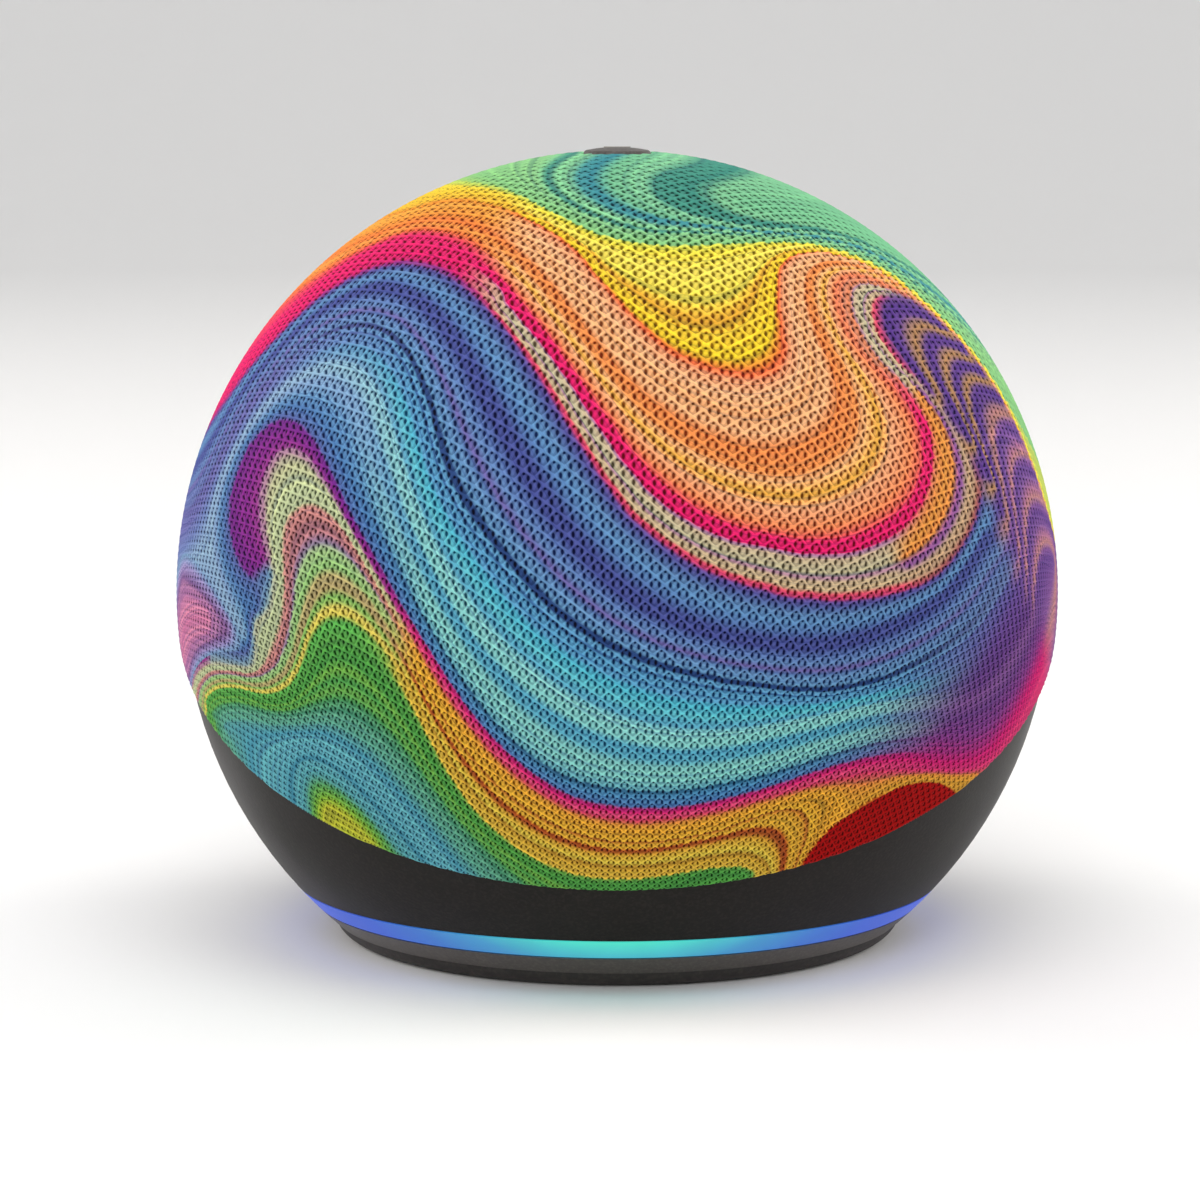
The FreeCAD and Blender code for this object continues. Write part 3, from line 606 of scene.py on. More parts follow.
FLOW_STROKES = [
    # the green pool at the top and its darker arcs
    Stroke(0.0, ((14, 8), (22, 10), (38, 18), (50, 30), (34, 46), (8, 42))),
    Stroke(0.022, ((10, 15.5), (5.6, 12), (5, 7), (8.5, 3.6), (15, 3.4), (22, 7), (30, 12))),
    Stroke(0.05, ((1, 26), (-2.8, 15), (-3.2, 9.5), (-1, 4.5), (3.5, 1.4), (9, 0.8))),
    Stroke(0.07, ((-5, 26), (-8, 15.5), (-7.2, 9), (-4.5, 4), (0, 0), (5, -1.4))),
    # green to yellow, round the pool
    Stroke(0.10, ((38, 5.8), (34, 6.6), (30, 5.9), (25, 4.4), (20, 2.2), (15, -0.3), (10, -2.4),
                  (5, -3.6), (1.3, -3.3), (-2.5, -1.6), (-6.3, 1.9), (-10, 6.9), (-13.8, 12.5),
                  (-18.5, 20), (-21, 30), (-17, 46), (-2, 60), (22, 68), (50, 66), (74, 54),
                  (90, 41), (100, 32), (109, 26))),
    Stroke(0.10, ((109, 11), (98, 5), (86, -0.5), (77, -3.4), (69, -2.2), (60, 1.2), (52, 3.6),
                  (44, 4.9), (38, 5.8))),
    # the golden fold inside the yellow tongue
    Stroke(0.17, ((20, 1), (17, -3), (15.8, -7), (14.8, -11), (12.6, -14.4), (8.5, -15.6),
                  (4.5, -14), (1, -10.8), (-2.5, -6.5))),
    # yellow to orange: the tongue's outline
    Stroke(0.20, ((33, 5.7), (28, 4.6), (24, 3.2), (20.5, 0.5), (18.3, -3), (17.8, -7),
                  (18.3, -12), (18.8, -17), (17, -20), (13, -21), (9, -20.5), (5, -18.5),
                  (1.5, -14.5), (-2, -9), (-5, -3.5), (-10, 3), (-15, 9), (-20.5, 14.5),
                  (-27, 19), (-33, 30), (-30, 48), (-14, 66), (14, 76), (48, 75), (78, 62),
                  (96, 50), (109, 40))),
    Stroke(0.30, ((36, 4.8), (31, 4.7), (27, 3), (23, -0.5), (21.3, -5), (22.5, -11),
                  (26, -17), (27.5, -22), (26, -26.5), (21, -30.5), (15, -31.5), (8, -29.5),
                  (2, -25), (-3, -18), (-7, -11), (-11, -4), (-16, 3), (-22, 9), (-30, 13),
                  (-39, 19), (-45, 34), (-38, 54), (-18, 74), (12, 85), (52, 83), (86, 68),
                  (106, 48))),
    # the crimson line, wide at the upper left
    Stroke(0.375, ((37, 4), (31, 2.5), (26.5, 0), (25, -4), (26, -9), (29, -13), (34, -15.5),
                   (37.5, -19), (38.8, -24), (37.7, -29), (34.5, -33.5), (29, -37.6),
                   (22, -39.5), (15, -39.3), (8, -36.8), (3, -32.5), (-1, -27), (-5, -20.5),
                   (-8.5, -14), (-12, -8), (-16, -2), (-20.5, 4), (-26, 8.2), (-33, 9.8),
                   (-42, 9.8), (-52, 11), (-60, 18), (-62, 34), (-52, 56), (-30, 77),
                   (8, 92), (52, 90), (88, 72))),
    Stroke(0.40, ((37, 3.2), (33, 2), (28.5, 0), (26.8, -4), (28, -8.5), (31, -12),
                  (36, -14.5), (40, -18.5), (41, -24.5), (40, -30), (36.5, -35.3),
                  (30, -39.7), (22, -41.5), (14, -41.3), (7, -38.8), (1.8, -34.3),
                  (-2, -28.8), (-6, -22), (-9.8, -15.5), (-12.6, -11))),
    # the last thin red line, and indigo after it
    Stroke(0.46, ((76, -7), (68, -4), (60, -0.6), (52, 2), (44, 3.4), (38, 2.7), (32.5, 0.6),
                  (30.2, -3), (30.8, -8), (34, -10.8), (39, -12), (44, -13.5), (48, -16),
                  (50.5, -20), (51, -25), (49.5, -31), (45, -38.5), (38, -43), (30, -46),
                  (22, -46.8), (14, -45.8), (8, -43.5), (3, -40), (0, -36.5), (-4, -30),
                  (-8, -22), (-11.6, -15), (-15.6, -8.4), (-20.2, -2.4), (-25, 1.6),
                  (-31, 4), (-38, 4.8), (-48, 4), (-60, 5), (-71, 14), (-73, 36),
                  (-60, 62), (-34, 85), (2, 99), (52, 96))),
    Stroke(0.54, ((54, -27), (52, -33), (48, -40), (42, -46), (35, -50.5), (28, -53), (20, -54),
                  (12, -53.3), (5, -51), (-1, -47), (-6, -41), (-10, -34), (-14, -25),
                  (-18, -15), (-23, -6), (-29, -0.5), (-38, 1), (-48, 0), (-62, -1))),
    # the pair of dark lines
    Stroke(0.60, ((64, -22), (61, -32), (57, -41), (53, -46), (48, -51), (42, -55.5),
                  (35, -58.7), (30, -60), (22, -60.6), (15, -60.3), (8, -59.3), (2, -57.5),
                  (-4, -54.5), (-9, -50.5), (-14, -44), (-18, -37.5), (-20.5, -31),
                  (-22, -22), (-24.5, -14), (-28.5, -8.5), (-34, -5.5), (-42, -4.5),
                  (-52, -6), (-64, -10), (-76, -6), (-86, 14), (-82, 42), (-62, 70))),
    # the palest teal, then the dark line before crimson
    Stroke(0.70, ((76, -22), (73, -34), (68, -46), (60, -53), (50, -57), (40, -60.5),
                  (33, -63.5), (26, -66), (18, -68.5), (10, -69.3), (3, -68.5), (-4, -66),
                  (-10, -62), (-15, -57), (-19, -51.5), (-22, -45), (-25, -36), (-27, -26),
                  (-29, -18), (-33, -12), (-40, -9.3), (-50, -9.8), (-60, -14), (-65, -22),
                  (-64.5, -32), (-62, -41))),
    Stroke(0.78, ((107, -8), (95, -9), (87, -14), (83, -24), (80, -40), (76, -51), (69, -57.5),
                  (58, -61.5), (46, -65.5), (36, -69.8), (27, -74), (18, -77), (10, -78.8),
                  (2, -78.8), (-6, -77.3), (-12, -74), (-17, -69), (-21, -62.5), (-24, -56),
                  (-27, -48), (-30, -38), (-33, -28), (-35.5, -19), (-40, -13.5), (-46, -11.5),
                  (-53, -12.5), (-59, -17.5), (-62, -25), (-60.5, -33.5), (-56.5, -38.5))),
    Stroke(0.82, ((107, -15), (97, -16), (90, -20), (86.5, -28), (84, -40), (81.5, -50), (77, -58),
                  (68, -63), (60, -65), (52, -66.5), (43, -69.5), (35, -73), (28, -76.5),
                  (20, -79.8), (12, -82), (4, -82.6), (-3, -81.8), (-8.5, -79.8),
                  (-13.5, -76), (-18, -71), (-21.5, -66), (-24.5, -60), (-27, -54),
                  (-29.5, -48), (-32, -41), (-34.5, -34), (-36.6, -27), (-38.8, -20.5),
                  (-42, -15.5), (-46, -13.2), (-51, -13.4), (-56.2, -17.2), (-58.6, -24),
                  (-57.4, -30.5), (-54.6, -34.2), (-52, -34.8))),
    # crimson to gold below; the beige arch and the valley to the left
    Stroke(0.857, ((107, -23), (98, -25), (92.5, -32), (90, -42), (84, -57), (76, -63.5),
                   (62, -67.5), (48, -71), (38, -74.5), (28, -78.5), (18, -82.3), (8, -84.5),
                   (0, -84.6), (-7, -82.8), (-13, -79), (-18, -74), (-22, -68), (-25.5, -61),
                   (-28.5, -53), (-31, -46), (-33.8, -38), (-36.5, -30), (-39, -24.4),
                   (-41.6, -20.8), (-45, -19.6), (-47.8, -21.6), (-49.4, -26), (-50.2, -32),
                   (-51, -36.4), (-54, -39.8), (-58, -39.5), (-61, -44), (-63.5, -46.2),
                   (-70, -43), (-78, -38.5), (-88, -35), (-98, -33))),
    # gold beside the red blob
    Stroke(0.885, ((40.5, -94), (42, -86), (46, -78.6), (53, -73), (61, -69.8), (70, -68),
                   (80, -65))),
    Stroke(0.90, ((41, -77.5), (36, -77.6), (30, -80), (22, -83.5), (14, -86.3), (6, -87.6),
                  (-1, -87.2), (-8, -84.8), (-14, -80.6), (-19.5, -75), (-23.5, -68.5),
                  (-27, -60.5), (-30, -51), (-32.8, -43), (-35.5, -36.5), (-38.5, -32),
                  (-42, -29.8), (-45.5, -31), (-47.5, -36), (-49.5, -41.5), (-53.5, -46),
                  (-59, -48.2), (-65, -46.8), (-71, -43.6), (-80, -39.5), (-92, -36.5))),
    # the hooked folds in the gold
    Stroke(0.926, ((38.3, -97), (38, -89), (36, -83.2), (32.5, -80.9), (28, -81.8),
                   (22, -84.9))),
    Stroke(0.945, ((35.6, -99), (35, -93.6), (33, -88.8), (29.8, -86.2), (25, -86.2),
                   (18, -88.4), (8, -91), (0, -91.6), (-8, -89.8), (-15, -86), (-20.5, -80.6),
                   (-25, -73), (-28.2, -65), (-30.5, -57), (-32.8, -49.5), (-36, -43.5),
                   (-40, -40.3), (-43.5, -40.8), (-47.5, -44.8), (-52, -49), (-58, -50.6),
                   (-64, -49.4), (-70, -46))),
    # gold to green, over the hill
    Stroke(0.98, ((33, -100), (31, -96), (26.5, -94.2), (20, -94.8), (12, -96.6), (5, -97.8),
                  (-2, -97.8), (-9, -96.2), (-15, -93), (-20.5, -88), (-25, -81.5), (-28, -74),
                  (-30, -66), (-31.8, -58.5), (-34.2, -52), (-38, -47.3), (-42, -45.6),
                  (-46, -46.6), (-50, -50), (-56, -52.6), (-63, -51.2), (-69.5, -47.6),
                  (-78, -43.7), (-88, -40.8))),
    Stroke(1.0, ((28, -97), (20, -96.6), (8, -99.6), (-4, -100.5), (-13, -98), (-20, -92.5),
                 (-26, -85), (-30, -76), (-32.5, -67), (-35, -59.5), (-39, -53), (-44, -50.5),
                 (-50, -53), (-57, -54.8), (-64, -52.8), (-70, -49), (-78, -45.5))),
    # green to teal, and the arcs round the lime spot
    Stroke(1.06, ((-21, -101), (-26, -93), (-31, -83), (-35, -73), (-39, -65), (-44, -60),
                  (-51, -58.2), (-60, -56.4), (-68, -52.4), (-77, -48), (-88, -45))),
    Stroke(1.10, ((-31, -100), (-35, -88), (-39, -77), (-44, -68), (-50, -62.4), (-58, -60),
                  (-66, -57.6), (-74, -54), (-84, -50))),
    Stroke(1.15, ((-40, -99), (-43.5, -88), (-47.5, -78), (-52, -70), (-57.5, -66), (-63, -66),
                  (-68, -69.5), (-71, -74), (-80, -84))),
    Stroke(1.2, ((-46, -95), (-49, -84), (-53, -75), (-58.5, -70), (-63, -71), (-67, -76),
                 (-72, -84))),
    Stroke(1.28, ((-53, -88), (-56.5, -80), (-60.5, -76.4), (-64, -79), (-67, -84))),
]

SHARE_STROKES = {
    Field.LEFT: [
        Stroke(1.0, ((-36, -20), (-42, -30), (-45, -42), (-52, -50), (-70, -40))),
        Stroke(1.0, ((-48, -10), (-64, -14), (-80, -10))),
        Stroke(0.62, ((-33, -36), (-32, -46), (-34, -54))),
        Stroke(0.12, ((-26, -52), (-26, -64), (-30, -78), (-34, -95))),
        Stroke(0.0, ((-20, -20), (-16, -40), (-12, -60), (-16, -78), (-20, -96))),
        Stroke(0.0, ((-40, 4), (-60, 4))),
        Stroke(0.0, ((20, -70), (40, -30))),
    ],
    Field.FADE: [
        Stroke(1.0, ((-76, -38.6), (-69, -40), (-62, -41), (-56, -37), (-51, -36))),
        Stroke(1.0, ((-66, -43.5), (-60, -47), (-53, -44), (-49.5, -39))),
        Stroke(0.0, ((-74, -34), (-67, -30), (-60, -30.5), (-55, -31.5), (-50, -30), (-46, -27))),
        Stroke(0.0, ((-92, -42), (-86, -39), (-84, -34), (-74, -33))),
        Stroke(0.0, ((-46, -27), (-42, -36), (-38, -50), (-30, -64))),
        Stroke(1.0, ((39, 3.6), (31, 1.6), (26, -3), (27.4, -8), (31.6, -12.2))),
        Stroke(0.0, ((33, -20), (38.4, -20.5), (44, -20))),
        Stroke(0.0, ((16, -6), (18, -14), (24, -22))),
    ],
    Field.RIGHT: [
        Stroke(0.0, ((32, -65), (38, -57), (43, -49), (50, -36), (53, -18))),
        Stroke(0.0, ((20, -76), (10, -50), (0, -20))),
        Stroke(0.5, ((47, -62), (51, -52), (56, -38), (59, -23))),
        Stroke(1.0, ((60, -64), (64, -52), (66, -38), (68, -22))),
        Stroke(1.0, ((78, -54), (84, -30), (88, -6))),
    ],
    Field.WARM: [
        Stroke(-1.0, ((-14, 24), (-17, 8), (-20, -3), (-28, -14))),
        Stroke(-1.0, ((-60, 40), (-60, 10), (-60, -10))),
        Stroke(0.0, ((-2, 24), (-3, 4), (-5, -14), (-3, -30), (6, -44), (22, -49),
                     (40, -44))),
        Stroke(0.0, ((24, -2), (33, -20), (30, -36))),
        Stroke(0.0, ((-30, 64), (14, 80), (60, 60))),
        Stroke(1.0, ((38, -13.5), (45, -18), (46.5, -25), (44, -33), (40, -38))),
    ],
    Field.CHEVRON: [
        Stroke(-0.2, ((43, 4), (36, 2.6), (31.6, -0.5), (30.5, -4.5), (32.2, -9), (38, -13))),
        Stroke(0.0, ((42, 2.8), (36.5, 1.2), (33, -1.5), (32.2, -5), (34, -8.6), (40, -12.4))),
        Stroke(1.0, ((47, 2), (42, 0), (39.2, -3), (39.4, -7), (42, -10.5), (48, -15))),
        Stroke(2.0, ((51, 1.6), (46.5, -1.2), (44, -4.5), (44.6, -8.5), (47.4, -12.4),
                     (54, -18))),
        Stroke(3.0, ((55.5, 1), (51, -2), (48.2, -5.5), (48.8, -10), (51.8, -14.4),
                     (58, -21))),
        Stroke(4.0, ((62, -0.5), (57.4, -4), (54.8, -8), (55.4, -12.5), (58.4, -17.4),
                     (64, -25))),
        Stroke(5.0, ((68, -3), (63, -7), (60.2, -11), (60.9, -16), (63.8, -21), (69, -29))),
        Stroke(6.0, ((75, -7.5), (69.5, -11), (66.6, -15.5), (67.2, -20), (70.2, -25.5),
                     (75, -33))),
        Stroke(7.0, ((83, -10), (77.5, -14), (73.8, -19), (74.2, -24.5), (77, -29),
                     (82, -38))),
    ],
    Field.EYE: [
        Stroke(1.0, ((38, 2), (34.5, 0), (33, -4), (35, -8), (42, -10), (50, -12.6), (58, -16),
                     (66, -19), (74, -19), (84, -13), (96, -8.4), (107, -6))),
        Stroke(1.0, ((38, 2), (46, 2.2), (54, 0.6), (62, -2), (72, -5), (86, -3.6), (98, 1))),
        Stroke(0.5, ((36, -10.6), (42, -13), (48.5, -16.5), (55, -20.5), (64, -24.5),
                     (76, -25))),
        Stroke(0.0, ((107, 9.4), (96, 3.4), (85, -1.6), (77, -4.2), (69, -2.8), (60, 0.8),
                     (52, 3.2), (44, 4.5), (38, 5), (33, 3.1), (30.4, -0.6), (29.9, -5),
                     (31.4, -9.2), (35.5, -12.2), (41, -15), (47, -19.6), (53, -25), (62, -31),
                     (76, -32))),
        Stroke(-1.0, ((25, -4), (30, -17), (42, -26), (54, -34), (66, -40), (80, -42))),
        Stroke(-1.0, ((30, 12), (50, 12), (70, 8), (90, 4))),
    ],
    Field.SPOT: [
        Stroke(1.0, ((-73, -32), (-80, -27), (-90, -23), (-98, -23))),
        Stroke(0.4, ((-100, -12), (-90, -14), (-83, -15), (-78, -20), (-72, -27.5),
                     (-67.5, -34.5), (-66.8, -37.6), (-70.5, -36.9), (-78, -34), (-88, -31),
                     (-98, -30))),
        Stroke(0.0, ((-100, -6), (-88, -8), (-80, -11), (-74, -17), (-69, -25), (-65.5, -33),
                     (-63, -40), (-62.4, -44), (-66, -42.4), (-72, -39.2), (-80, -36),
                     (-90, -33.4), (-100, -32))),
        Stroke(-1.0, ((-96, 6), (-80, 0), (-70, -10), (-62, -24), (-58, -40), (-60, -52),
                      (-72, -47), (-84, -43), (-98, -41))),
    ],
    Field.BLOB: [
        Stroke(1.0, ((50, -90), (58, -82), (68, -76))),
        Stroke(0.0, ((39, -97), (39.6, -91), (42, -84.5), (47.5, -78), (54.5, -72.8),
                     (62, -69.9), (70, -68.9), (78, -69.5))),
        Stroke(-1.0, ((32, -96), (34, -84), (42, -75), (54, -67), (66, -63.5), (80, -62))),
    ],
}


@dataclass(frozen=True)
class Wash:
    """Another run of inks, which takes over from the flow's own where a field says so."""

    inks: Stops
    kind: Field
    share: Span
    rise: Place
    fall: Place


@dataclass(frozen=True)
class PrintColours:
    """The print's inks, as runs of colour along the flow."""

    pool: Stops = (
        (0.0, "6fb48a"), (0.014, "7fc193"), (0.019, "3f8a7c"), (0.026, "4a9482"),
        (0.032, "80c096"), (0.044, "74ba90"), (0.049, "3d8a96"), (0.055, "4d9a9a"),
        (0.06, "82c293"), (0.066, "7cbd90"), (0.07, "4c9a86"), (0.076, "8cc68a"),
        (0.096, "86c280"),
    )
    upper: Stops = (
        (0.096, "86c280"), (0.102, "d9d850"), (0.115, "f0dc48"), (0.14, "f1dd5e"),
        (0.16, "f2dc52"), (0.168, "e3a634"), (0.174, "eec63a"), (0.192, "f0cd2e"),
        (0.199, "ea6a3c"), (0.209, "f0a072"), (0.235, "f3b987"), (0.26, "efac74"),
        (0.278, "f1b582"), (0.29, "e98a4b"), (0.31, "ec9350"), (0.322, "f3b57a"),
        (0.338, "eaad44"), (0.352, "f2ab7c"), (0.368, "ef8f5c"), (0.376, "ea6258"),
        (0.382, "e0286a"), (0.396, "e01e69"),
    )
    upper_left: Stops = (
        (0.1, "a9c860"), (0.112, "e6cd42"), (0.15, "ecc238"), (0.19, "e9b13a"),
        (0.2, "df8a34"), (0.215, "eda545"), (0.255, "eb963e"), (0.29, "e87b3c"),
        (0.31, "ee9848"), (0.335, "e8743f"), (0.356, "e2485a"), (0.378, "e0256b"),
        (0.43, "dd1f68"), (0.452, "c9226c"), (0.461, "8b3587"), (0.468, "6f4b94"),
    )
    middle: Stops = (
        (0.398, "dd3f72"), (0.403, "a4719d"), (0.409, "c9b393"), (0.42, "c6b996"),
        (0.43, "a9a488"), (0.435, "ac7f9b"), (0.441, "c9b18e"), (0.452, "c3ac88"),
        (0.457, "e0506a"), (0.462, "cf3f6c"), (0.468, "5f4b94"), (0.48, "50619c"),
        (0.494, "6088b4"), (0.506, "5f8dbb"), (0.52, "5577ac"), (0.532, "4a5596"),
        (0.546, "474f92"), (0.558, "5a76ae"), (0.566, "6487b8"), (0.574, "665a9c"),
        (0.58, "5f84b4"), (0.592, "6494bc"), (0.595, "243f74"), (0.6, "243f74"),
        (0.603, "5f9cc2"), (0.611, "548cb8"), (0.613, "2a5084"), (0.616, "5394bb"),
        (0.64, "5a9ec4"),
    )
    hook: Stops = (
        (0.398, "dd4a5c"), (0.404, "e0823f"), (0.418, "e59a45"), (0.43, "d98a48"),
        (0.435, "9a5a94"), (0.44, "8f5a98"), (0.446, "c3a584"), (0.454, "b89678"),
        (0.459, "a8605c"), (0.464, "8a4a6c"), (0.47, "54488c"),
    )
    lower: Stops = (
        (0.63, "5699c2"), (0.65, "4fb4c8"), (0.668, "60bcc9"), (0.682, "5aa9c4"),
        (0.694, "86c8c6"), (0.712, "84cbc6"), (0.722, "56a9c2"), (0.738, "5aaac0"),
        (0.748, "83c8c2"), (0.768, "7cc3c0"), (0.777, "66b0bd"), (0.779, "2c6688"),
        (0.783, "2c6688"), (0.786, "4c93ba"), (0.8, "4884b2"),
    )
    gold: Stops = (
        (0.797, "4988b4"), (0.8, "4884b2"), (0.812, "4474ac"), (0.818, "b02572"),
        (0.83, "d42b74"), (0.842, "e0527e"), (0.853, "cf3f62"), (0.862, "cf6a4e"),
        (0.872, "e0983e"), (0.888, "e6ac38"), (0.902, "d99f34"), (0.918, "e6b63a"),
        (0.923, "b8662c"), (0.928, "dca638"), (0.937, "e2b23a"), (0.942, "a64a22"),
        (0.947, "b05c28"), (0.951, "dfae3c"), (0.962, "d8c24a"), (0.967, "b98a30"),
        (0.972, "dbb03c"), (0.986, "c9b84a"),
    )
    ground: Stops = (
        (0.97, "dcab3c"), (0.984, "d6b444"), (0.988, "6dab4c"), (0.996, "4f9c46"),
        (1.004, "4f9a48"), (1.012, "74b04c"), (1.022, "4c9a4e"), (1.034, "70b052"),
        (1.046, "4a9658"), (1.056, "5ea67c"), (1.062, "3f8668"), (1.068, "62a88c"),
        (1.082, "5fa690"), (1.096, "5ca3a4"), (1.104, "4a94ac"), (1.112, "62adba"),
        (1.13, "66b0bd"), (1.143, "58a2b4"), (1.15, "3f87a0"), (1.156, "64adb8"),
        (1.18, "5ca8b0"), (1.196, "5aa09a"), (1.21, "60a860"), (1.235, "80b642"),
        (1.265, "b4c03c"), (1.3, "ddca42"),
    )
    left: Stops = (
        (0.5, "5c5698"), (0.6, "6a60a4"), (0.66, "6f87bb"), (0.7, "8fb4cd"),
        (0.735, "80a6cb"), (0.762, "5f95bd"), (0.79, "3f7db0"), (0.814, "3f68a4"),
        (0.819, "642888"), (0.836, "74288a"), (0.848, "8a3a8c"), (0.852, "b094a4"),
        (0.855, "8a6a90"), (0.859, "b9c497"), (0.872, "bcc79b"), (0.886, "b2bb92"),
        (0.892, "c58a84"), (0.904, "bd7b7c"), (0.91, "8c7698"), (0.915, "a5c488"),
        (0.93, "94c278"), (0.94, "b2a673"), (0.95, "b3a06e"), (0.957, "83b860"),
        (0.962, "9cba64"), (0.967, "e2d266"), (0.976, "dccb5c"), (0.981, "58a850"),
        (1.0, "5da84c"),
    )
    valley: Stops = (
        (0.7, "8fb4cd"), (0.74, "74a6c6"), (0.775, "3f7db0"), (0.815, "3c70a6"),
        (0.838, "4f97b4"), (0.85, "7fb0b0"), (0.86, "b3c09c"), (0.88, "b8c195"),
    )
    faded: Stops = (
        (0.37, "ee9462"), (0.379, "e6805a"), (0.388, "d0876a"), (0.397, "e0865c"),
        (0.406, "b49484"),
    )
    right: Stops = (
        (0.46, "5a4a94"), (0.5, "4f5098"), (0.54, "54609f"), (0.565, "6480ac"),
        (0.58, "5860a0"), (0.6, "6a7cac"), (0.615, "62509a"), (0.65, "664690"),
        (0.69, "643c84"), (0.72, "825494"), (0.745, "6c4086"), (0.78, "843c8a"),
        (0.81, "a82f80"), (0.835, "cf2074"), (0.86, "d63a78"),
    )
    chevron: Stops = (
        (0.0, "58388a"), (0.16, "6a4890"), (0.32, "98746e"), (0.5, "b4875a"),
        (0.66, "9c7468"), (0.84, "6f4e8c"), (1.0, "58388a"),
    )
    chevron_late: Stops = (
        (0.0, "684690"), (0.2, "80589a"), (0.45, "b07492"), (0.6, "b88284"),
        (0.8, "86599a"), (1.0, "684690"),
    )
    spot: Stops = (
        (0.0, "78a0c0"), (0.08, "8298c0"), (0.2, "9a8ec0"), (0.32, "8a70a4"),
        (0.38, "7c5a90"), (0.46, "b47ca8"), (0.56, "a06a9c"), (0.64, "c07aa4"),
        (0.82, "cc82a4"), (1.0, "c0709c"),
    )
    blob: str = "a80c0c"

    def washes(self) -> tuple[Wash, ...]:
        """List the runs that take over from the flow's own.

        Returns:
            The washes, in the order that they are laid.
        """
        return (
            Wash(self.upper_left, Field.WARM, (-0.85, -0.3, 1.0, 0.0), (0.094, 0.104),
                 (0.462, 0.468)),
            Wash(self.hook, Field.WARM, (0.3, 0.85), (0.398, 0.401), (0.464, 0.47)),
            Wash(self.left, Field.LEFT, (0.25, 0.75), (0.54, 0.62), (0.985, 1.0)),
            Wash(self.valley, Field.FADE, (0.2, 0.7), (0.69, 0.7), (0.866, 0.88)),
            Wash(self.faded, Field.FADE, (0.15, 0.8), (0.37, 0.376), (0.4, 0.406)),
            Wash(self.right, Field.RIGHT, (0.0, 1.0), (0.462, 0.47), (0.855, 0.87)),
        )


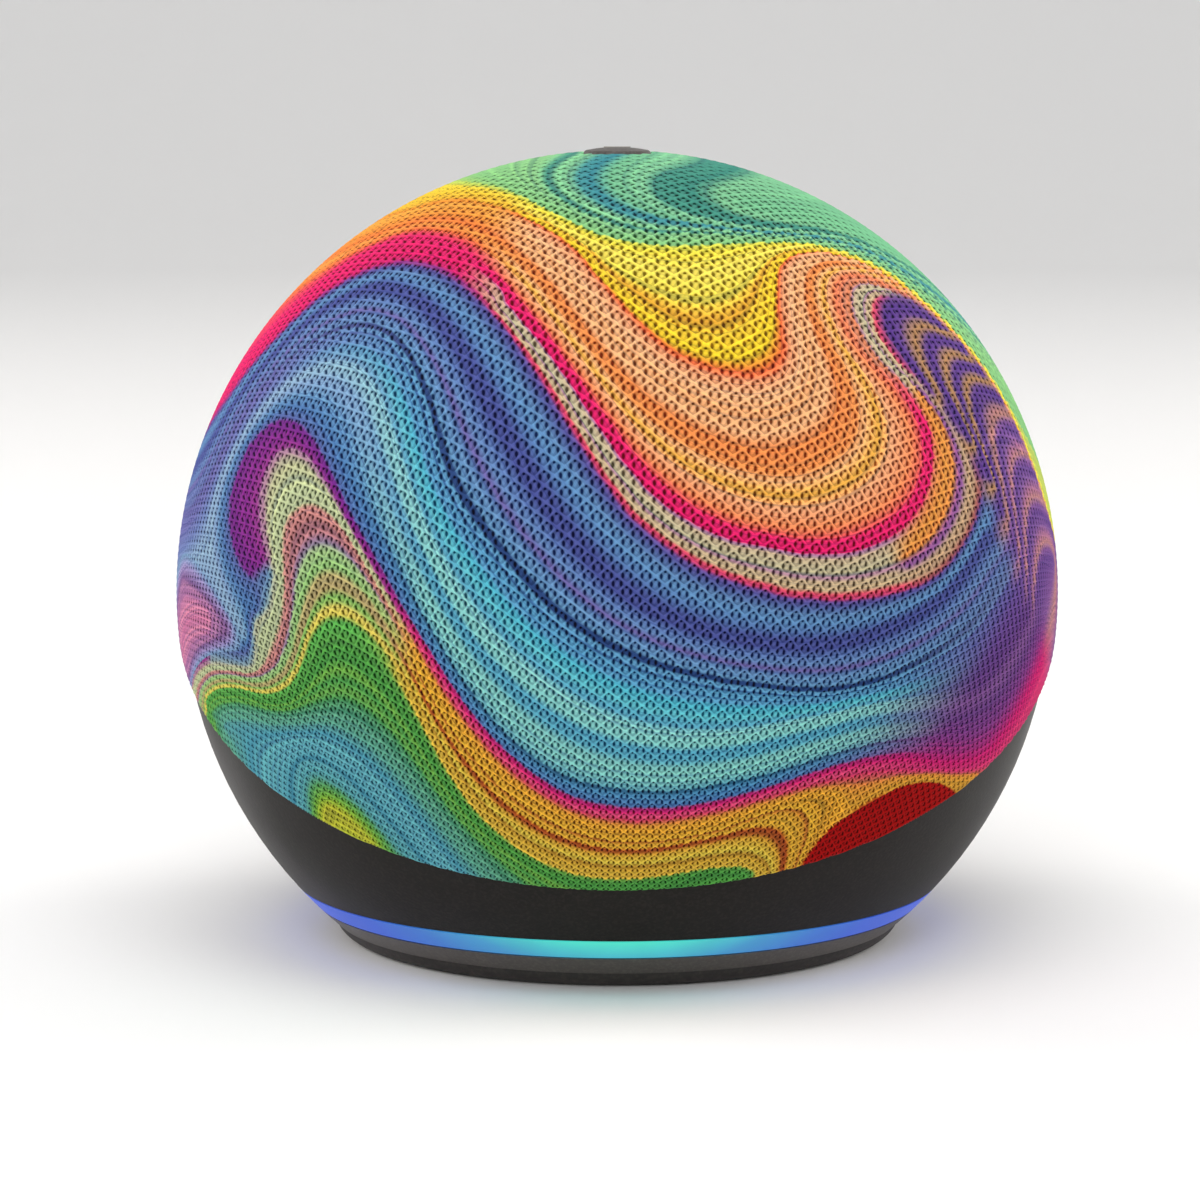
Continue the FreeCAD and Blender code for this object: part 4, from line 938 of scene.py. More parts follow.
@dataclass(frozen=True)
class Knit:
    """The printed knit: a net of thread made lighter than the print with a painted highlight, and
    in each cell openings darkened with painted shade round a fleck.
    """

    name: str
    column: float
    row: float
    inks: PrintColours = PrintColours()
    net_round: float = 1.15
    net_wide: float = 1.05
    net_edge: Place = (0.68, 0.88)
    fleck: Place = (0.23, 0.5)
    fleck_lean: float = 0.2
    fleck_share: float = 0.75
    pit: Place = (0.2, 0.41)
    pit_side: float = 0.5
    dot: float = 0.19
    dot_rise: float = 0.6
    pit_edge: Place = (0.55, 1.35)
    fleck_edge: Place = (0.6, 1.15)
    between: float = 0.62
    # painted shade: the openings are the print squared and darkened by this colour, in place of the
    # shade in the sunk openings
    shade: Colour = (0.2, 0.2, 0.27, 1.0)
    # painted highlight: the net's threads are the print made lighter by this, on their raised tops
    lit: Colour = (1.12, 1.12, 1.1, 1.0)
    yarn: float = 5200.0
    yarn_depth: float = 0.00004
    late_fan: Place = (2.6, 4.2)
    eye_edge: Place = (0.0, 0.6)
    spot_edge: Place = (0.0, 0.04)
    blob_edge: Place = (-0.02, 0.04)
    streak: float = 210.0
    light_streak: Colour = (1.35, 1.3, 1.2, 1.0)
    light_share: Span = (0.5, 0.72, 0.0, 0.8)
    deep_streak: Colour = (0.45, 0.5, 0.7, 1.0)
    deep_share: Span = (0.28, 0.48, 0.7, 0.0)

    def field(self, bench: Bench, kind: Field) -> bpy.types.NodeSocket:
        """One of the print's fields, as read from the knit."""
        return bench.node("Attribute", {"attribute_name": kind.value}).outputs["Fac"]

    def flow_colour(self, bench: Bench, flow: bpy.types.NodeSocket) -> bpy.types.NodeSocket:
        """The colour of the flowing bands.

        Args:
            bench: The material's node tree.
            flow: The field that the bands follow.

        Returns:
            The colour, with every wash laid over it.
        """
        inks = self.inks
        tone = bench.run(flow, inks.pool)
        for stops in (inks.upper, inks.middle, inks.lower, inks.gold, inks.ground):
            swap = bench.math("GREATER_THAN", flow, (stops[0][0] + stops[1][0]) / 2)
            tone = bench.blend(swap, tone, bench.run(flow, stops))
        for wash in inks.washes():
            share = bench.span(self.field(bench, wash.kind), *wash.share)
            share = bench.math("MULTIPLY", share, bench.span(flow, *wash.rise))
            share = bench.math("MULTIPLY", share, bench.span(flow, *wash.fall, 1.0, 0.0))
            tone = bench.blend(share, tone, bench.run(flow, wash.inks))
        return tone

    def print_colour(self, bench: Bench) -> bpy.types.NodeSocket:
        """The print's colour, before the knit shades it.

        Args:
            bench: The material's node tree.

        Returns:
            The bands, the fan, the spot, the fine streaks and the blob, in that order.
        """
        flow = self.field(bench, Field.FLOW)
        tone = self.flow_colour(bench, flow)
        chevron = self.field(bench, Field.CHEVRON)
        phase = bench.math("FRACT", bench.math("ADD", chevron, 1.0))
        fan = bench.blend(bench.span(chevron, *self.late_fan),
                          bench.ramp(phase, self.inks.chevron),
                          bench.ramp(phase, self.inks.chevron_late))
        tone = bench.blend(bench.span(self.field(bench, Field.EYE), *self.eye_edge), tone, fan)
        spot = self.field(bench, Field.SPOT)
        tone = bench.blend(bench.span(spot, *self.spot_edge), tone,
                           bench.ramp(spot, self.inks.spot))
        fine = bench.node("TexNoise", {"noise_dimensions": "1D"}, W=flow, Scale=self.streak,
                          Detail=3.0, Roughness=0.6).outputs["Fac"]
        for share, tint in ((self.light_share, self.light_streak),
                            (self.deep_share, self.deep_streak)):
            tone = bench.blend(bench.span(fine, *share), tone, bench.multiply(tone, tint))
        blob = self.field(bench, Field.BLOB)
        return bench.blend(bench.span(blob, *self.blob_edge), tone, linear(self.inks.blob))

    def build(self) -> bpy.types.Material:
        """Make the material.

        Returns:
            The material, ready for a slot.
        """
        bench = Bench(self.name)
        printed = self.print_colour(bench)
        wide, tall = self.column / MM, self.row / MM
        cell = bench.node("SeparateXYZ", None,
                          Vector=bench.node("UVMap", {"uv_map": "cell"}).outputs[0]).outputs
        across = bench.math("MULTIPLY_ADD", cell["X"], wide, -wide / 2)
        along = bench.math("MULTIPLY_ADD", cell["Y"], tall, -tall / 2)

        offset = bench.math("ABSOLUTE", across)
        diamond = self.reach_of(bench, across, along, wide / 2, tall / 2, self.net_round)
        sides = bench.math("DIVIDE", offset, self.net_wide)
        net = bench.span(bench.math("MAXIMUM", diamond, sides), *self.net_edge)
        beside = bench.math("SUBTRACT", offset, self.pit_side)
        above = bench.math("SUBTRACT", along, self.dot_rise)
        pit_shade = bench.math("MINIMUM", self.reach_of(bench, beside, along, *self.pit),
                          self.reach_of(bench, across, above, self.dot, self.dot))
        slanted = bench.math("MULTIPLY_ADD", along, -self.fleck_lean, across)
        fleck = bench.span(self.reach_of(bench, slanted, along, *self.fleck),
                           *self.fleck_edge, 1.0, 0.0)

        # painted shade: the dark lobes in each opening, and the tone between them, are the print
        # darkened in colour for the shade in the sunk openings
        dark = bench.multiply(bench.multiply(printed, printed), self.shade)
        tone = bench.blend(bench.span(pit_shade, *self.pit_edge), dark,
                           bench.blend(self.between, dark, printed))
        tone = bench.blend(bench.math("MULTIPLY", fleck, self.fleck_share), tone, printed)
        # painted highlight: the net shows the print, made lighter than itself on the raised threads
        tone = bench.blend(net, tone, bench.multiply(printed, self.lit))
        bench.set(Base_Color=tone, Roughness=0.8, Specular_IOR_Level=0.1, Sheen_Weight=0.02,
                  Sheen_Roughness=0.5,
                  Normal=bench.bump(bench.noise(self.yarn, 2.0), self.yarn_depth))
        return bench.material

    def reach_of(self, bench: Bench, across: bpy.types.NodeSocket, along: bpy.types.NodeSocket,
                 wide: float, tall: float, power: float = 2.0) -> bpy.types.NodeSocket:
        """Distance from a cell's middle, as a share of a rounded shape's edge.

        Args:
            bench: The material's node tree.
            across: Millimetres from the middle, along the rows.
            along: Millimetres from the middle, along the columns.
            wide: The shape's half width.
            tall: The shape's half height.
            power: 1 for a diamond, 2 for an oval, or between.

        Returns:
            The share: 0 in the middle and 1 on the edge.
        """
        parts = [bench.math("POWER", bench.math("ABSOLUTE", bench.math("DIVIDE", way, size)),
                            power) for way, size in ((across, wide), (along, tall))]
        return bench.math("POWER", bench.math("ADD", *parts), 1 / power)


# ---- the knit sleeve -------------------------------------------------------------------------

@dataclass
class Ball:
    """The ball that the knit is stretched over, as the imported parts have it."""

    radius: float = 0.05
    centre: Vector = field(default_factory=lambda: Vector((0, 0, 0.039)))
    lean: float = math.radians(30.25)
    edge_tilt: float = math.radians(29.0)
    edge_drop: float = 0.0022

    def axis(self) -> np.ndarray:
        """The direction of the flat knit's centre."""
        return np.array((0.0, -math.sin(self.lean), math.cos(self.lean)))

    def cap_axis(self, node: str) -> Vector:
        """The direction of a button, from the middle of its cap."""
        low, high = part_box(node)
        return ((low + high) / 2 - self.centre).normalized()

    def direction(self, flat: np.ndarray) -> np.ndarray:
        """Where places on the flat knit point to on the ball.

        Args:
            flat: One flat place to a row, in metres.

        Returns:
            One unit direction to a row.
        """
        reach = np.linalg.norm(flat, axis=1)
        turn = 2 * np.arctan(reach / (2 * self.radius))
        along = flat / np.maximum(reach, TINY)[:, None]
        side = np.array((1.0, 0.0, 0.0))
        back = np.array((0.0, math.cos(self.lean), math.sin(self.lean)))
        return (np.cos(turn)[:, None] * self.axis()
                + np.sin(turn)[:, None] * (along[:, :1] * side + along[:, 1:] * back))


@dataclass
class KnitSleeve:
    """The knit: one opening to a cell, stretched over the ball and rolled in at its edges."""

    ball: Ball
    column: float = 0.0024225
    row: float = 0.002074
    rim: float = 0.1085
    opening: Place = (0.00058, 0.00066)
    sunk: float = 0.00030
    thread_rise: float = 0.00018
    thread_sag: float = 0.00004
    weld: float = 0.00002
    map_margin: float = 1.01
    cut_front: Place = (0.150, 0.092)
    cut_back: Place = (0.150, 0.054)
    cut_share: float = 0.72
    hem: float = 0.0005
    hem_depth: float = 0.0013
    hem_flattening: float = 0.8
    cap_hole: float = 0.00405
    back_from: float = -0.002
    cap_nodes: tuple[str, ...] = ("volume_down_cap", "action_cap", "volume_up_cap",
                                  "microphone_cap")

    def cell_tile(self) -> bpy.types.Object:
        """One cell of the knit: the threads round it, its sunk opening and the thread across.

        Returns:
            The cell, on a flat ground, with its own map of where in the cell a point lies.
        """
        half = (self.column / 2, self.row / 2)
        corners = [(half[0], 0), (0, half[1]), (-half[0], 0), (0, -half[1])]
        outer = []
        for corner, after in zip(corners, corners[1:] + corners[:1]):
            outer.append((*corner, 0.0))
            outer.append(((corner[0] + after[0]) / 2, (corner[1] + after[1]) / 2,
                          -self.thread_sag))
        count = len(outer)
        turns = [index * math.tau / count for index in range(count)]
        inner = [(self.opening[0] * math.cos(turn), self.opening[1] * math.sin(turn), -self.sunk)
                 for turn in turns]
        faces = []
        for index in range(count):
            after = (index + 1) % count
            faces += [(index, after, count + after), (index, count + after, count + index),
                      (count + index, count + after, 2 * count)]
        mesh = bpy.data.meshes.new("knit_cell")
        mesh.from_pydata(outer + inner + [(0, 0, self.thread_rise - self.sunk)], [], faces)
        layer = mesh.uv_layers.new(name="cell")
        for loop in mesh.loops:
            place = mesh.vertices[loop.vertex_index].co
            layer.data[loop.index].uv = (place.x / self.column + 0.5, place.y / self.row + 0.5)
        return placed("knit_cell", mesh)

    def lattice(self, tile: bpy.types.Object, finish: bpy.types.Material) -> bpy.types.Mesh:
        """The flat knit: a cell at every corner and middle of a grid, inside a round rim.

        Args:
            tile: The cell that repeats.
            finish: The knit's material.

        Returns:
            The flat knit as a plain mesh.
        """
        tree = bpy.data.node_groups.new("knit_lattice", "GeometryNodeTree")
        face = tree.interface
        inputs = (("Column", "Float", self.column), ("Row", "Float", self.row),
                  ("Rim", "Float", self.rim), ("Weld", "Float", self.weld),
                  ("Cell", "Object", tile), ("Finish", "Material", finish))
        sockets = {name: face.new_socket(name, in_out="INPUT", socket_type="NodeSocket" + kind)
                   for name, kind, _ in inputs}
        face.new_socket("Geometry", in_out="OUTPUT", socket_type="NodeSocketGeometry")
        bench = Nodes(tree)
        entry = bench.node("NodeGroupInput").outputs

        def count(pitch: bpy.types.NodeSocket) -> bpy.types.NodeSocket:
            """An odd number of rows that reaches past the rim on both sides."""
            half = bench.math("CEIL", bench.math("DIVIDE", entry["Rim"], pitch))
            return bench.math("MULTIPLY_ADD", half, 2.0, 3.0)

        def length(number: bpy.types.NodeSocket,
                   pitch: bpy.types.NodeSocket) -> bpy.types.NodeSocket:
            """How far a number of rows reaches, from the first to the last."""
            return bench.math("MULTIPLY", bench.math("SUBTRACT", number, 1.0), pitch)

        column, row = entry["Column"], entry["Row"]
        wide, tall = count(column), count(row)
        grid = bench.node("GeometryNodeMeshGrid", None, Size_X=length(wide, column),
                          Size_Y=length(tall, row), Vertices_X=wide,
                          Vertices_Y=tall).outputs["Mesh"]
        shift = bench.node("CombineXYZ", None, X=bench.math("DIVIDE", column, 2.0),
                           Y=bench.math("DIVIDE", row, 2.0)).outputs[0]
        middles = bench.node("GeometryNodeTransform", None, Geometry=grid,
                             Translation=shift).outputs[0]
        joined = bench.node("GeometryNodeJoinGeometry")
        for part in (grid, middles):
            bench.feed(joined.inputs[0], part)
        reach = bench.node("VectorMath", {"operation": "LENGTH"},
                           at0=bench.node("GeometryNodeInputPosition").outputs[0])
        outside = bench.node("FunctionNodeCompare",
                             {"data_type": "FLOAT", "operation": "GREATER_THAN"},
                             at0=reach.outputs["Value"], at1=entry["Rim"]).outputs[0]
        kept = bench.node("GeometryNodeDeleteGeometry", {"domain": "POINT"},
                          Geometry=joined.outputs[0], Selection=outside).outputs[0]
        source = bench.node("GeometryNodeObjectInfo", None, Object=entry["Cell"])
        cells = bench.node("GeometryNodeInstanceOnPoints", None, Points=kept,
                           Instance=source.outputs["Geometry"]).outputs[0]
        real = bench.node("GeometryNodeRealizeInstances", None, Geometry=cells).outputs[0]
        merged = bench.node("GeometryNodeMergeByDistance", None, Geometry=real,
                            Distance=entry["Weld"]).outputs[0]
        dressed = bench.node("GeometryNodeSetMaterial", None, Geometry=merged,
                             Material=entry["Finish"]).outputs[0]
        bench.node("NodeGroupOutput", None, at0=dressed)

        carrier = placed("knit_flat", bpy.data.meshes.new("knit_flat"))
        modifier = carrier.modifiers.new("lattice", "NODES")
        modifier.node_group = tree
        for name, _, value in inputs:
            modifier[sockets[name].identifier] = value
        graph = bpy.context.evaluated_depsgraph_get()
        mesh = bpy.data.meshes.new_from_object(carrier.evaluated_get(graph))
        bpy.data.objects.remove(carrier)
        bpy.data.objects.remove(tile)
        return mesh

    def rolled(self, direction: np.ndarray, depth: np.ndarray, pole: np.ndarray,
               angle: float, inward: bool, place: np.ndarray) -> tuple[np.ndarray, np.ndarray]:
        """Roll the knit in at a round edge.

        Args:
            direction: Each point's direction from the ball's centre.
            depth: How far each point lies under the knit's outer surface.
            pole: The direction of the edge circle's axis.
            angle: The angle from the pole at which the edge stands.
            inward: True where the knit ends towards the pole, as at a button.
            place: Where the points are so far.

        Returns:
            The new places, and how far past the start of the roll each point is.
        """
        radius = self.ball.radius
        cosine = np.clip(direction @ pole, -1, 1)
        turn = np.arccos(cosine)
        start = angle + (self.hem if inward else -self.hem) / radius
        past = radius * ((start - turn) if inward else (turn - start))
        across = direction - cosine[:, None] * pole
        across /= np.maximum(np.linalg.norm(across, axis=1), TINY)[:, None]
        rim = math.cos(start) * pole + math.sin(start) * across
        tangent = math.cos(start) * across - math.sin(start) * pole
        if inward:
            tangent = -tangent
        curl = np.clip(past / self.hem, 0, math.pi / 2)
        rest = np.maximum(past - self.hem * math.pi / 2, 0)
        relief = depth * (1 - self.hem_flattening * np.clip(past / self.hem, 0, 1))
        down = self.hem * (1 - np.cos(curl)) + rest + relief
        rolled = ((radius - down)[:, None] * rim + (self.hem * np.sin(curl))[:, None] * tangent)
        moved = np.where((past > 0)[:, None], rolled, place)
        return moved, past

    def drape(self, mesh: bpy.types.Mesh) -> np.ndarray:
        """Stretch the flat knit over the ball and roll its edges in.

        Args:
            mesh: The flat knit; its vertices are moved.

        Returns:
            Each vertex's place on the flat knit, in metres.
        """
        flat = read_rows(mesh.vertices, "co")
        direction = self.ball.direction(flat[:, :2])
        depth = -flat[:, 2]
        place = (self.ball.radius - depth)[:, None] * direction
        tilt = self.ball.edge_tilt
        pole = np.array((0.0, -math.sin(tilt), math.cos(tilt)))
        edge = math.acos(-self.ball.edge_drop / self.ball.radius)
        place, furthest = self.rolled(direction, depth, pole, edge, False, place)
        hole = math.asin(self.cap_hole / self.ball.radius)
        for node in self.cap_nodes:
            axis = np.array(self.ball.cap_axis(node))
            place, past = self.rolled(direction, depth, axis, hole, True, place)
            furthest = np.maximum(furthest, past)
        place += np.array(self.ball.centre)
        mesh.vertices.foreach_set("co", place.ravel())
        work = bmesh.new()
        work.from_mesh(mesh)
        work.verts.ensure_lookup_table()
        keep_places = work.verts.layers.float_vector.new("flat_place")
        for vertex, spot in zip(work.verts, flat):
            vertex[keep_places] = Vector(spot)
        beyond = [vertex for vertex, past in zip(work.verts, furthest) if past > self.hem_depth]
        bmesh.ops.delete(work, geom=beyond, context="VERTS")
        work.to_mesh(mesh)
        work.free()
        kept = read_rows(mesh.attributes["flat_place"].data, "vector")
        mesh.attributes.remove(mesh.attributes["flat_place"])
        return kept[:, :2]

    def draw_print(self, mesh: bpy.types.Mesh, flat: np.ndarray) -> None:
        """Keep the print's fields and a flat map for baking on the knit.

        Args:
            mesh: The draped knit.
            flat: Each vertex's place on the flat knit, in metres.
        """
        film = Film()
        strokes = {Field.FLOW: FLOW_STROKES, **SHARE_STROKES}
        for kind, lines in strokes.items():
            layer = mesh.attributes.new(kind.value, "FLOAT", "POINT")
            layer.data.foreach_set("value", film.read(lines, flat / MM).astype(np.float32))
        corners = np.zeros(len(mesh.loops), np.int32)
        mesh.loops.foreach_get("vertex_index", corners)
        layer = mesh.uv_layers.new(name="OFBake")
        spread = flat[corners] / (2 * self.rim * self.map_margin) + 0.5
        layer.uv.foreach_set("vector", spread.astype(np.float32).ravel())

    def build(self) -> list[bpy.types.Object]:
        """Make the sleeve in a front and a back piece.

        Returns:
            The two pieces.
        """
        finish = Knit("printed_knit", self.column, self.row).build()
        mesh = self.lattice(self.cell_tile(), finish)
        flat = self.drape(mesh)
        self.draw_print(mesh, flat)
        mesh.polygons.foreach_set("use_smooth", np.ones(len(mesh.polygons), bool))
        mesh.update()
        normals = read_rows(mesh.vertices, "normal")
        layer = mesh.attributes.new("whole_normal", "FLOAT_VECTOR", "POINT")
        layer.data.foreach_set("vector", normals.astype(np.float32).ravel())
        made = []
        for name, is_back in (("knit_front", False), ("knit_back", True)):
            part = mesh.copy()
            part.name = name
            work = bmesh.new()
            work.from_mesh(part)
            cells = [shape for shape in work.faces
                     if (shape.calc_center_median().y > self.back_from) != is_back]
            bmesh.ops.delete(work, geom=cells, context="FACES")
            work.to_mesh(part)
            work.free()
            smooth = read_rows(part.attributes["whole_normal"].data, "vector")
            part.attributes.remove(part.attributes["whole_normal"])
            part.normals_split_custom_set_from_vertices(smooth.tolist())
            piece = placed(name, part)
            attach(piece, BODY)
            made.append(piece)
            LOG.info("%s: %d faces", name, len(part.polygons))
        bpy.data.meshes.remove(mesh)
        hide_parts("fabric_sleeve")
        return made


# ---- studio ----------------------------------------------------------------------------------

@dataclass(frozen=True)
class Lamp:
    """A square soft light: its name, where it stands, its side and its power in watts."""

    name: str
    place: tuple[float, float, float]
    side: float
    power: float
    colour: tuple[float, float, float] = (1.0, 1.0, 1.0)

    def build(self, target: Vector) -> None:
        """Make the light.

        Args:
            target: What it faces.
        """
        data = bpy.data.lights.new(self.name, "AREA")
        data.shape = "SQUARE"
        data.size = self.side
        data.energy = self.power
        data.color = self.colour
        lamp = placed(self.name, data)
        lamp.location = self.place
        lamp.rotation_euler = (target - Vector(self.place)).to_track_quat("-Z", "Y").to_euler()


@dataclass
class Studio:
    """A pale floor that sweeps up behind, soft lights and the camera."""

    target: Vector
    distance: float = 0.5
    height_angle: float = math.radians(7.92)
    lens: float = 131.6
    shift: Place = (-0.0143, -0.0078)
    floor_reach: float = 1.2
    sweep: float = 1.0
    sweep_steps: int = 12
    wall_top: float = 3.0
    spokes: int = 96
    paper: Colour = (0.93, 0.93, 0.93, 1.0)
    sky: float = 0.52
    lamps: tuple[Lamp, ...] = (
        Lamp("overhead", (0.0, -0.3, 1.1), 1.0, 6.0),
        Lamp("front_fill", (-0.2, -1.2, 0.6), 0.7, 5.0),
        Lamp("left_rim", (-0.9, 0.35, 0.35), 0.5, 4.0, (1.0, 0.95, 0.9)),
        Lamp("right_rim", (0.9, 0.35, 0.35), 0.5, 4.0, (1.0, 0.95, 0.9)),
    )

    def floor(self) -> None:
        """A floor that curves up into a back wall all round."""
        rings = [(self.floor_reach, 0.0)]
        for step in range(1, self.sweep_steps + 1):
            angle = math.pi / 2 * step / self.sweep_steps
            rings.append((self.floor_reach + self.sweep * math.sin(angle),
                          self.sweep * (1 - math.cos(angle))))
        rings.append((self.floor_reach + self.sweep, self.wall_top))
        turns = [index * math.tau / self.spokes for index in range(self.spokes)]
        work = bmesh.new()
        loops = [[work.verts.new((reach * math.cos(turn), reach * math.sin(turn), height))
                  for turn in turns] for reach, height in rings]
        work.faces.new(loops[0])
        for low, high in zip(loops, loops[1:]):
            for shape in skirt(work, high, low):
                shape.smooth = True
        mesh = bpy.data.meshes.new("studio_floor")
        work.to_mesh(mesh)
        work.free()
        bench = Bench("studio_paper")
        bench.set(Base_Color=self.paper, Roughness=0.9,
                  Normal=bench.bump(bench.noise(900.0), 0.00002))
        mesh.materials.append(bench.material)
        floor = placed("studio_floor", mesh)

    def camera(self) -> None:
        """The camera, a little above the ball's middle."""
        data = bpy.data.cameras.new("camera")
        data.lens = self.lens
        data.shift_x, data.shift_y = self.shift
        data.clip_start = 0.01
        camera = placed("camera", data)
        back = Vector((0, -math.cos(self.height_angle), math.sin(self.height_angle)))
        camera.location = self.target + back * self.distance
        camera.rotation_euler = (-back).to_track_quat("-Z", "Y").to_euler()
        bpy.context.scene.camera = camera

    def build(self) -> None:
        """Make the whole studio."""
        self.floor()
        self.camera()
        for lamp in self.lamps:
            lamp.build(self.target)
        world = bpy.data.worlds.new("studio_sky")
        world.use_nodes = True
        sky = world.node_tree.nodes["Background"]
        sky.inputs["Color"].default_value = (1.0, 1.0, 1.0, 1.0)
        sky.inputs["Strength"].default_value = self.sky
        bpy.context.scene.world = world
        bpy.context.scene.view_settings.view_transform = "Standard"


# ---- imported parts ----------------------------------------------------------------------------

Finish = Moulded | Metal | Board | Fibre | Glow | Clear


class Shelf:
    """The finishes made so far, so that parts of one finish share one material."""

    def __init__(self) -> None:
        """Start with an empty shelf."""
        self.made: dict[Finish, bpy.types.Material] = {}

    def take(self, finish: Finish) -> bpy.types.Material:
        """The material of a finish, made on its first use."""
        if finish not in self.made:
            self.made[finish] = finish.build()
        return self.made[finish]

    def dress(self, node: str, finish: Finish) -> None:
        """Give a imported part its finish.

        Args:
            node: The part's name.
            finish: What it is made of.
        """
        part = bpy.data.objects[node]
        if not part.data.materials:
            part.data.materials.append(self.take(finish))
        for slot in part.material_slots:
            slot.link = "OBJECT"
            slot.material = self.take(finish)
        LOG.info("%s: %s", node, finish.name)


@dataclass
class SubAssembly:
    """A group of parts that go together on the bench."""

    shelf: Shelf

    def finishes(self) -> dict[str, Finish]:
        """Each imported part's finish, by the part's name."""
        return {}

    def build(self) -> list[bpy.types.Object]:
        """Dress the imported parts.

        Returns:
            The pieces that were made here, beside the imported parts.
        """
        for node, finish in self.finishes().items():
            self.shelf.dress(node, finish)
        return []


@dataclass
class Housing(SubAssembly):
    """The dark lower housing with its sockets, the lit ring and the base it stands on."""

    glow_strength: float = 0.85
    grain: float = 2600.0
    foot_grain: float = 1800.0
    foot_depth: float = 0.00004

    def glow(self) -> Glow:
        """The lit ring's finish, which turns hue round the ring's own radius."""
        low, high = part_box("light_ring")
        return Glow("ring_diffuser", self.glow_strength, (high.x - low.x) / 2)

    def finishes(self) -> dict[str, Finish]:
        """Choose the finishes.

        Returns:
            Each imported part's finish, by the part's name.
        """
        return {
            "lower_housing": Moulded("housing_plastic", "1a1715", "24201d", 0.44, self.grain,
                                     gloss=0.12),
            "base_plate": Moulded("base_plastic", "453f3a", "57504a", 0.42, self.grain),
            "rubber_foot": Moulded("foot_rubber", "211c19", "332d29", 0.62, self.foot_grain,
                                   self.foot_depth),
            "light_ring": self.glow(),
            "dc_inlet": Moulded("socket_plastic", "141313", "222020", 0.34),
            "audio_socket": Moulded("jack_plastic", "171616", "262424", 0.34),
            "base_screws": SCREW_STEEL,
        }


@dataclass
class Electronics(SubAssembly):
    """The boards, what is soldered to them and what spreads their light and heat."""

    fine_pitch: float = 700.0
    coarse_pitch: float = 520.0
    film_pitch: float = 900.0

    def finishes(self) -> dict[str, Finish]:
        """Choose the finishes.

        Returns:
            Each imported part's finish, by the part's name.
        """
        return {
            "main_board": Board("main_mask", "0d2436", "27506b", self.coarse_pitch),
            "led_board": Board("led_mask", "e6e7e4", "c8b27a", self.fine_pitch),
            "control_board": Board("control_mask", "0f2b1c", "2b5a35", self.fine_pitch),
            "control_flex": Board("flex_film", "8c5b22", "c99552", self.film_pitch),
            "antennas": Board("antenna_film", "8a5a2a", "c89a4c", 400.0),
            "board_chips": Moulded("chip_black", "111214", "1f2123", 0.36, 4200.0),
            "led_chips": Moulded("chip_white", "e6e2c8", "f4f1de", 0.3, 4200.0),
            "shield_cans": Metal("can_steel", "c3c5c6", 0.28, (10.0, 1.0, 1.0)),
            "tact_switches": SCREW_STEEL,
            "microphones": SCREW_STEEL,
            "light_guide": Clear("clear_acrylic"),
            "heat_spreader": Metal("spreader_aluminium", "c6c9cc", 0.3, (1.0, 12.0, 1.0)),
            "thermal_pads": Moulded("thermal_silicone", "9fb4c4", "b4c6d2", 0.7),
        }


@dataclass
class Loudspeaker(SubAssembly):
    """The driver in its sealed enclosure, under the grille dome."""

    cloth_scale: float = 1400.0
    gasket_depth: float = 0.00008

    def finishes(self) -> dict[str, Finish]:
        """Choose the finishes.

        Returns:
            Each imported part's finish, by the part's name.
        """
        return {
            "grille_dome": Moulded("grille_plastic", "161515", "242323", 0.5),
            "enclosure_front": Moulded("enclosure_plastic", "1b1b1d", "2a2a2c", 0.46),
            "enclosure_rear": Moulded("enclosure_plastic_rear", "1a1a1c", "29292b", 0.46),
            "enclosure_seal": Moulded("seal_silicone", "3a3c3e", "4c4e50", 0.66),
            "driver_gasket": Moulded("gasket_foam", "26262a", "3a3a3e", 0.85, 1500.0,
                                     self.gasket_depth),
            "cone_surround": Moulded("surround_rubber", "141414", "232323", 0.5),
            "ring_magnet": Moulded("magnet_ferrite", "2b2c30", "3f4046", 0.55, 1200.0, 0.00004),
            "driver_basket": Metal("basket_steel", "3c3e42", 0.42),
            "front_plate": Metal("plate_iron", "8f9398", 0.36),
            "back_yoke": Metal("yoke_iron", "8a8e93", 0.38),
            "driver_screws": SCREW_STEEL,
            "speaker_leads": Metal("lead_copper", "b06a3c", 0.3),
            "voice_coil": Metal("coil_copper", "b8683a", 0.3, (1.0, 30.0, 1.0)),
            "spider": Fibre("spider_cloth", "b98a3c", "8a6428", self.cloth_scale),
            "driver_cone": Fibre("cone_paper", "1c1c1e", "303034", self.cloth_scale),
            "dust_cap": Fibre("cap_paper", "18181a", "2a2a2e", self.cloth_scale),
        }


class Mark(Enum):
    """The plain marks on the four buttons, with the part and body that each one is on."""

    MINUS = ("mark_minus", "volume_down_cap", "volume_down_button")
    DOT = ("mark_dot", "action_cap", "action_button")
    PLUS = ("mark_plus", "volume_up_cap", "volume_up_button")
    MICROPHONE = ("mark_microphone", "microphone_cap", "microphone_button")


